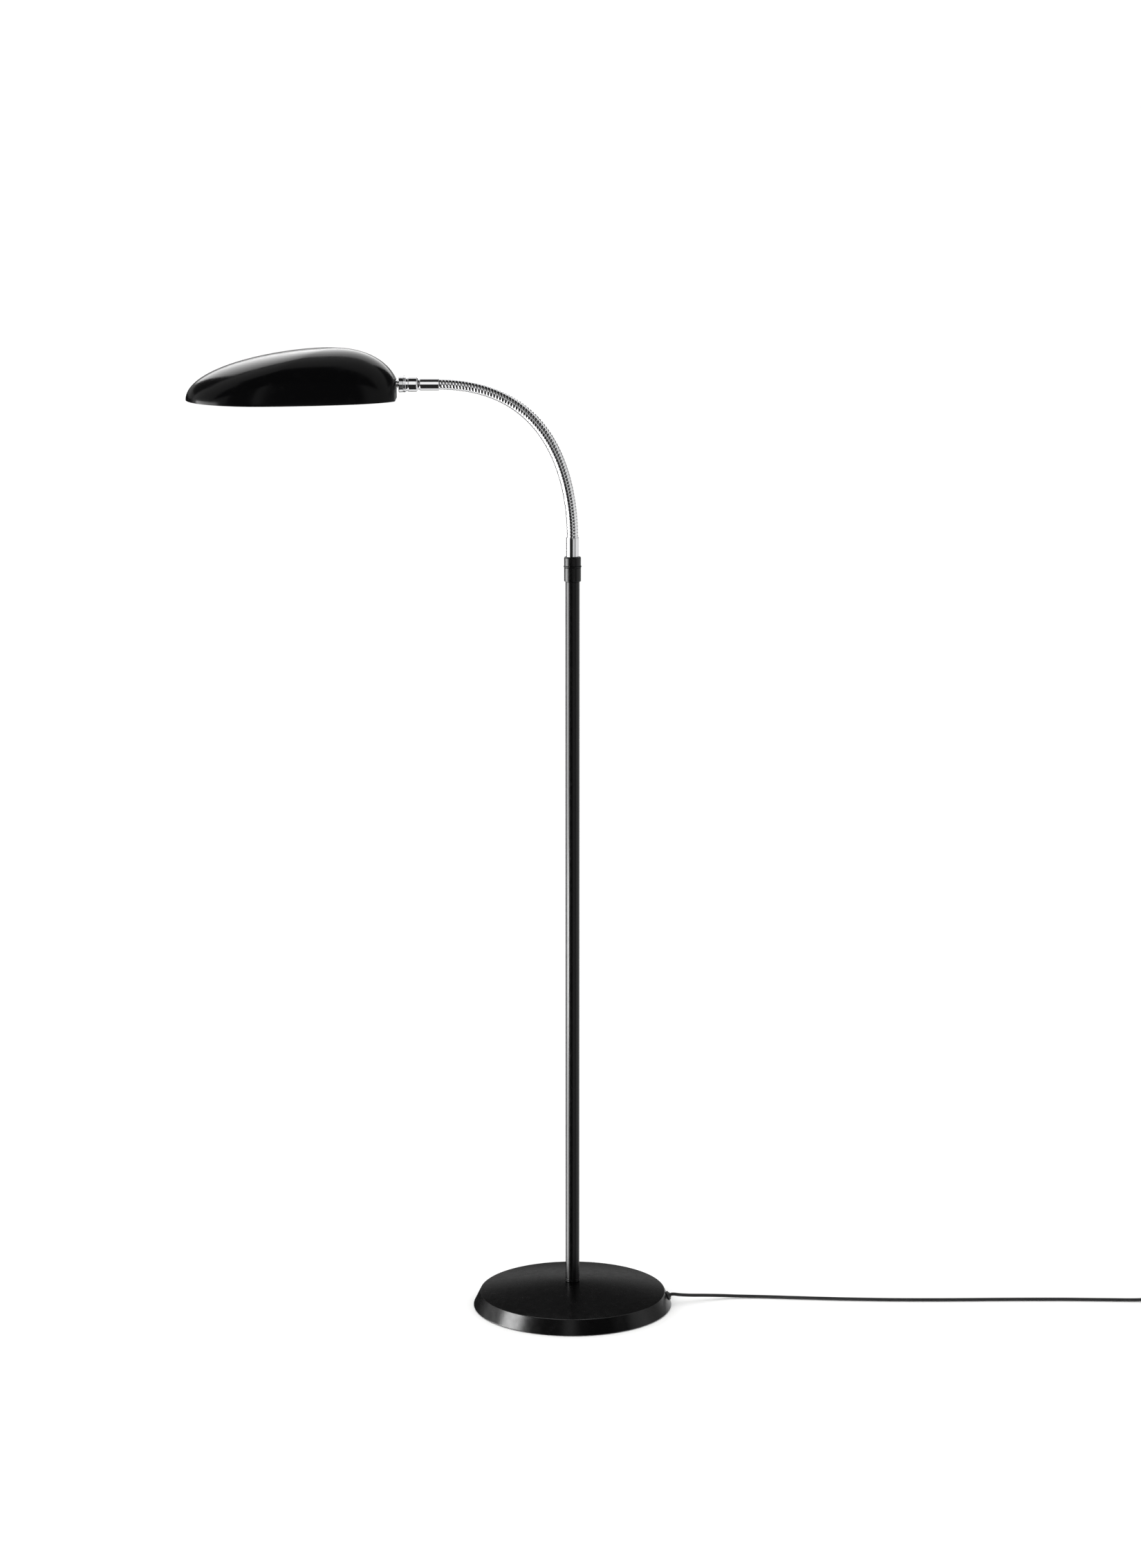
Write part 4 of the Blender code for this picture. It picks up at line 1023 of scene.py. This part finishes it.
def make_shade_lead():
    """Two-core lead from the stem's bore to the lampholder, inside the shade."""
    route = [(-0.2290, 0, HEAD_Z), (-0.2380, 0, HEAD_Z), (-0.2450, 0, HEAD_Z),
             (-0.2500, 0, HEAD_Z + 0.0020), (-0.2545, 0, HOLDER_AT.z - 0.0016),
             (-0.2590, 0, HOLDER_AT.z), (-0.2638, 0, HOLDER_AT.z)]
    lead = tube("shade_lead_finished", smooth_route(route, 0.0008), 0.0014, SHEATH)
    keep(lead, "shade", "lead_sheath", "shade_lead")


# ---------------- flex
TURN_R = 0.03325               # centre line of the coil's widest turn
COLUMNS = 4
LOW_LAYER_Z = COIL_LOW + CORD_R
HIGH_LAYER_Z = LOW_LAYER_Z + CORD_D


def eased(value, start, end):
    """Smooth step from 0 to 1 between two values."""
    t = min(1.0, max(0.0, (value - start) / (end - start)))
    return t * t * (3 - 2 * t)


def coil_point(turn):
    """Place on the coil after a number of turns: in along the floor, up, and out again on top."""
    inward = COLUMNS - 1
    step = min(turn, inward) - min(max(turn - COLUMNS, 0), inward)
    tuck = 0.0020 * eased(turn, inward + 0.3, inward + 0.6) * (1 - eased(turn, COLUMNS, COLUMNS + 0.3))
    radius = TURN_R - CORD_D * step - tuck
    climb = eased(turn, inward + 0.55, COLUMNS + 0.05)
    sink = eased(turn, 2 * COLUMNS - 1, 2 * COLUMNS - 0.5)
    height = LOW_LAYER_Z + CORD_D * climb - (HIGH_LAYER_Z - middle("plug_body").z) * sink
    angle = 2 * math.pi * turn - math.pi / 2
    return Vector((COIL_AT.x + radius * math.cos(angle), COIL_AT.y + radius * math.sin(angle), height))


def make_cord():
    """The whole flex in one piece: out of the base, through the switch, round the coil, to the plug."""
    steps = 96
    line = smooth_route([CORD_START, *CORD_ROUTE], 0.0025)
    winding = [coil_point(i / steps) for i in range(int((2 * COLUMNS - 0.5) * steps) + 1)]
    plug_end = Vector((PLUG_BACK_X - 0.0100, winding[-1].y, winding[-1].z))
    path = respaced(line + winding + [plug_end], 0.0025)
    return tube("flex", path, CORD_R, BRAID, sides=20), path


def rounded_loop(low, high, radius, steps=6):
    """(x, z) outline of a rectangle with round corners."""
    points = []
    corners = ((high, high, 0), (low, high, 90), (low, low, 180), (high, low, 270))
    for x_from, z_from, first in corners:
        x = x_from[0] - radius if x_from is high else x_from[0] + radius
        z = z_from[1] - radius if z_from is high else z_from[1] + radius
        points += arc((x, z), radius, first, first + 90, steps)
    return points


def make_tie():
    """Hook-and-loop strap closed round the bundle."""
    low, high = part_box("coil_tie")
    strap = 0.0008
    corner = 0.0034
    outer = rounded_loop((low.x, low.z), (high.x, high.z), corner)
    inner = rounded_loop((low.x + strap, low.z + strap), (high.x - strap, high.z - strap),
                         corner - strap)
    bm = bmesh.new()
    loops = [[bm.verts.new((x, y, z)) for x, z in line]
             for line, y in ((outer, low.y), (outer, high.y), (inner, high.y), (inner, low.y))]
    bridge(bm, [*loops, loops[0]])
    tie = new_piece("coil_tie_finished", bm, STRAP)
    keep(tie, "stand", "black_plastic", "coil_tie")
    return tie


# ---------------- plug and switch
def loft(name, sections, centre, material, sides=64):
    """Closed piece along -X through rounded sections: (distance, half width, half height, power)."""
    bm = bmesh.new()
    rings = []
    for distance, half_w, half_h, power in sections:
        ring = []
        for angle in circle(sides):
            c = math.cos(angle)
            s = math.sin(angle)
            y = math.copysign(abs(c) ** (2 / power), c) * half_w
            z = math.copysign(abs(s) ** (2 / power), s) * half_h
            ring.append(bm.verts.new((centre.x - distance, centre.y + y, centre.z + z)))
        rings.append(ring)
    bridge_and_close(bm, rings)
    return new_piece(name, bm, material, crease=50)


def plug_sections(length, half_w, half_h):
    """Strain relief in four rings, then shoulders that widen into the body with its grips."""
    relief = 0.0120
    root_r = CORD_R + 0.0002
    waist_w = 0.0115
    waist_h = 0.0066
    sections = [(0.0, root_r, root_r, 2), (0.0, 0.0032, 0.0032, 2)]
    for ring in range(4):
        start = 0.0004 + 0.0027 * ring
        reach = 0.0034 + 0.0004 * ring
        for ahead, out in ((0, 0), (0.0017, 0.0002), (0.0018, -0.0007), (0.0026, -0.0007)):
            sections.append((start + ahead, reach + out, reach + out, 2))
    sections += [(relief, 0.0056, 0.0052, 2.2), (relief + 0.0015, 0.0085, 0.0062, 2.6)]
    for step in range(25):
        share = step / 24
        taper = eased(share, 0.0, 0.45)
        grip = 0.0005 * math.sin(math.pi * 10 * share) ** 2 * (share < 0.62)
        distance = relief + 0.0032 + (length - relief - 0.0042) * share
        sections.append((distance, waist_w + (half_w - waist_w) * taper - grip,
                         waist_h + (half_h - waist_h) * taper, 3.0 + 1.6 * taper))
    sections.append((length, half_w - 0.0010, half_h - 0.0010, 4.4))
    return sections


def make_pin(node, centre_z):
    """Round pin with a domed end, and the moulded sleeve round its waist."""
    low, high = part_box(node)
    at = Vector((0, middle(node).y, centre_z))
    radius = (high.z - low.z) / 2
    start = -high.x
    end = -low.x
    waist = radius - 0.0003
    dome = 0.0011
    sleeve_end = start + 0.0100
    shape = [(0, start), (waist, start), (waist, sleeve_end), (radius, sleeve_end + 0.0002)]
    shape += arc((radius - dome, end - dome), dome, 0, 80, 6) + [(0, end)]
    pin = lathe(f"{node}_finished", shape, NICKEL, at, -X_AXIS, 48)
    keep(pin, "stand", "brass", node)
    wrap = [(waist, start), (radius, start), (radius, sleeve_end - 0.0002),
            (radius - 0.0001, sleeve_end), (waist, sleeve_end)]
    sleeve = lathe(f"{node}_sleeve", wrap, BLACK_PLASTIC, at, -X_AXIS, 48)
    keep(sleeve, "stand", "black_plastic")
    return pin, sleeve


def make_plug():
    """Flat two-pin plug with finger grips and sleeved pins."""
    length, width, height = size_of("plug_body")
    at = middle("plug_body")
    sections = plug_sections(length, width / 2, height / 2)
    body = loft("plug_finished", sections, Vector((PLUG_BACK_X, at.y, at.z)), BLACK_PLASTIC)
    keep(body, "stand", "black_plastic", "plug_body")
    return [body, *make_pin("plug_pin_near", at.z), *make_pin("plug_pin_far", at.z)]


def pad(name, low, high, corner, fillets, material):
    """Flat block with round corners in plan, and its lower and upper edges rounded as asked."""
    lower, upper = fillets
    quarter = [math.pi / 2 * k / 6 for k in range(7)]
    levels = [(low.z, lower + HOLD)]
    levels += [(low.z + lower * (1 - math.cos(a)), lower * (1 - math.sin(a))) for a in quarter]
    levels += [(high.z - upper * (1 - math.sin(a)), upper * (1 - math.cos(a))) for a in quarter]
    levels.append((high.z, upper + HOLD))
    bm = bmesh.new()
    rings = []
    for z, inset in levels:
        plan = rounded_loop((low.x + inset, low.y + inset), (high.x - inset, high.y - inset),
                            corner - inset, 8)
        rings.append([bm.verts.new((x, y, z)) for x, y in plan])
    bridge_and_close(bm, rings)
    return new_piece(name, bm, material)


def make_switch_body(at):
    """Two moulded halves round the flex, hollow under a mouth for the button in a raised ring."""
    base_low, base_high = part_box("switch_base")
    cover_low, cover_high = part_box("switch_cover")
    corner = 0.0090
    base = pad("switch_base_finished", base_low, base_high, corner, (0.0012, 0.0003), BLACK_PLASTIC)
    cover = pad("switch_cover_finished", cover_low, cover_high, corner, (0.0003, 0.0042), BLACK_PLASTIC)
    for half in (base, cover):
        drill(half, 0.0026, -0.05, 0.05, at + UP * SWITCH_CORD_Z, X_AXIS)
    room = Vector((0.0260, 0.0110, 0))
    cut(cover, soft_block(at - room + UP * 0.001, at + room + UP * 0.0165, 0.001))
    drill(cover, 0.0088, 0.0120, 0.0250, at, UP, 64)
    keep(base, "stand", "black_plastic", "switch_base")
    keep(cover, "stand", "black_plastic", "switch_cover")

    ring = [(0.0089, cover_high.z - 0.0012), (0.0112, cover_high.z - 0.0012)]
    ring += high_edge(0.0112, cover_high.z + 0.0008, 0.0006, 5)
    ring += arc((0.0093, cover_high.z + 0.0004), 0.0004, 90, 180, 4)
    bezel = lathe("switch_ring", ring, BLACK_PLASTIC, at, UP)
    keep(bezel, "stand", "black_plastic")
    return [base, cover, bezel]


def make_button(at):
    """Dished foot button on a plunger."""
    low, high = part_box("switch_button")
    plunger = 0.0062
    dish = 0.0011
    dish_share = 0.86
    reach = (high.x - low.x) / 2
    shape = [(0, 0.0184), (plunger, 0.0184), (plunger, low.z), (reach, low.z)]
    shape += high_edge(reach, high.z, 0.0010, 6)
    shape += [(reach * share, high.z - dish * (1 - (share / dish_share) ** 2))
              for share in (0.8, 0.6, 0.4, 0.2)]
    button = lathe("switch_button_finished", shape + [(0, high.z - dish)], BLACK_PLASTIC, at, UP, 64)
    keep(button, "button", "black_plastic", "switch_button")


def make_spring(at):
    """Spring under the button."""
    low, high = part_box("switch_spring")
    wire = 0.0005
    coil_r = 0.0051
    turns = 4
    height = high.z - low.z
    line = []
    for k in range(32 * turns + 1):
        angle = math.pi / 16 * k
        climb = (height - 2 * wire) * k / (32 * turns)
        line.append(at + Vector((coil_r * math.cos(angle), coil_r * math.sin(angle), low.z + wire + climb)))
    spring = tube("switch_spring_finished", line, wire, ZINC, sides=10)
    keep(spring, "stand", "steel", "switch_spring")
    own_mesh(spring)


def make_switch():
    """In-line foot switch, and the pieces of it that lie on the flex."""
    x, y, _ = middle("switch_base")
    at = Vector((x, y, 0))
    outside = make_switch_body(at)
    make_button(at)
    make_spring(at)
    return outside


# ---------------- studio
# What mirrors see of the room, painted in this order: brightness, then ranges of degrees.  "turn" goes
# round from the front, less than 0 to the left; "height" is above the horizon; "tip" goes from the front
# over the top to the back, and less than 0 under the object.
DIM = 0.06
DARK = 0.02
WHITE_ROOM = 1.17
ROOM = [
    (0.95, {"tip": (-131, -81)}),
    (0.85, {"turn": (54, 172), "height": (-60, 70)}),
    (0.70, {"turn": (4, 42), "height": (-60, -6)}),
    (0.95, {"tip": (90, 172), "height": (4, 90)}),
    (0.35, {"tip": (150, 176), "height": (2, 14)}),
    (0.05, {"tip": (126, 172), "height": (14, 54)}),
    (0.95, {"turn": (-124, -50), "height": (-50, 60)}),
    (13.0, {"turn": (-112, -66), "height": (-50, 4)}),
    (DARK, {"turn": (-50, 4), "height": (-86, -6)}),
    (DARK, {"turn": (-75, 75), "tip": (40, 86)}),
    (DARK, {"turn": (44, 52), "height": (-60, 40)}),
    (DARK, {"turn": (-200, -138), "height": (-50, 2)}),
    (1.10, {"turn": (-10, 3), "height": (-4, 40)}),
]


def make_world():
    """Even white for the eye, the floor and all matt paint; softboxes and screens for mirrors."""
    world = bpy.data.worlds.new("studio")
    world.use_nodes = True
    world.cycles.sampling_method = "NONE"     # every ray then knows whether it is a mirror's
    bpy.context.scene.world = world
    room = Nodes(world.node_tree)
    split = room.node("ShaderNodeSeparateXYZ", Vector=room.place("Generated"))
    x, y, z = split.outputs
    front = room.math("MULTIPLY", y, -1.0)
    angles = {
        "turn": room.math("DEGREES", room.math("ARCTAN2", x, front)),
        "tip": room.math("DEGREES", room.math("ARCTAN2", z, front)),
        "height": room.math("DEGREES", room.math("ARCSINE", z)),
    }

    seen = DIM
    for level, ranges in ROOM:
        inside = 1.0
        for angle, (low, high) in ranges.items():
            soft = min(3.0, (high - low) / 4)
            rise = room.spread(angles[angle], low - soft / 2, low + soft / 2, kind="SMOOTHSTEP")
            fall = room.spread(angles[angle], high - soft / 2, high + soft / 2, 1.0, 0.0, "SMOOTHSTEP")
            inside = room.math("MULTIPLY", inside, room.math("MULTIPLY", rise, fall))
        change = room.math("SUBTRACT", level, seen)
        seen = room.math("MULTIPLY_ADD", change, inside, seen)
    mirrored = room.node("ShaderNodeLightPath").outputs["Is Glossy Ray"]
    change = room.math("SUBTRACT", seen, WHITE_ROOM)
    background = room.tree.nodes["Background"]
    room.feed(background.inputs["Strength"], room.math("MULTIPLY_ADD", change, mirrored, WHITE_ROOM))
    room.feed(background.inputs["Color"], (1, 1, 1, 1))


def make_floor():
    """Pale seamless floor with a faint mottle; mirrors look past it at the room."""
    paint = Paint("floor", (0.93, 0.93, 0.925), 0.9)
    paint.tint(paint.spread(paint.noise(3.0, 3.0), 0.4, 0.7, 0.0, 0.4), (0.91, 0.91, 0.908))
    bm = bmesh.new()
    bmesh.ops.create_circle(bm, cap_ends=True, segments=96, radius=60)
    floor = new_piece("floor", bm, paint.material)
    floor.visible_glossy = False


def make_lights():
    """Soft lamps: a key from high at the left and a weak fill from the right light the matt
    faces; one close behind the hood and one at the left of the base are seen by mirrors only, as
    the bright bands along the hood's top and on the base's side."""
    lamps = (
        ("key", (-2.6, -2.2, 3.2), (-0.05, 0, 0.65), (2.2, 2.2), 24, False),
        ("fill", (3.0, -2.6, 2.0), (-0.05, 0, 0.65), (2.0, 2.0), 6, False),
        ("hood", (-0.30, 0.72, 1.74), (-0.35, 0, HEAD_Z), (1.1, 0.69), 7, True),
        ("base", (-0.82, -0.25, 0.30), (-0.09, -0.10, 0.01), (0.36, 0.36), 9, True),
    )
    for name, at, aim, size, watts, mirrored in lamps:
        data = bpy.data.lights.new(name, "AREA")
        data.shape = "RECTANGLE"
        data.size, data.size_y = size
        data.energy = watts
        lamp = bpy.data.objects.new(name, data)
        lamp.location = at
        lamp.rotation_euler = (Vector(aim) - Vector(at)).to_track_quat("-Z", "Y").to_euler()
        lamp.visible_camera = False
        lamp.visible_glossy = mirrored
        lamp.visible_diffuse = not mirrored
        bpy.context.scene.collection.objects.link(lamp)


# ---------------- assembly
INNER_LOOKS = (
    (ZINC, ("cord_clamp", "clamp_screw", "foot_nipple", "foot_nut", "foot_washer", "post_foot_plug",
            "post_top_plug", "swivel_bolt", "swivel_nut", "swivel_washer", "cup_spring", "stem_nut",
            "holder_screw", "switch_screw")),
    (SHEATH, ("inner_lead",)),
    (WHITE_PLASTIC, ("friction_cup", "switch_core")),
    (BRASS, ("lampholder_thread",)),
    (IRON, ("base_weight",)),
    (FELT, ("base_felt",)),
)


def paint_inner_pieces():
    """The CAD's own inner pieces keep their shape and get their finish here."""
    for material, names in INNER_LOOKS:
        for name in names:
            NODES[name].data.materials[0] = material


def main():
    make_camera()
    flex, path = make_cord()
    keep(flex, "stand", "cord_textile", "cord_lead", "cord_coil")
    on_flex = [*make_plug(), *make_switch(), make_tie()]

    make_base()
    make_bushing()
    make_post()
    make_collar()
    make_hose()
    make_lower_ferrule()
    make_upper_ferrule()
    make_coupling()
    make_nut()
    make_ball_joint()
    make_shade()
    make_bracket()
    make_lampholder()
    make_bulb()
    make_shade_lead()
    paint_inner_pieces()

    make_world()
    make_floor()
    make_lights()
    bpy.context.scene.view_settings.view_transform = "Standard"


main()
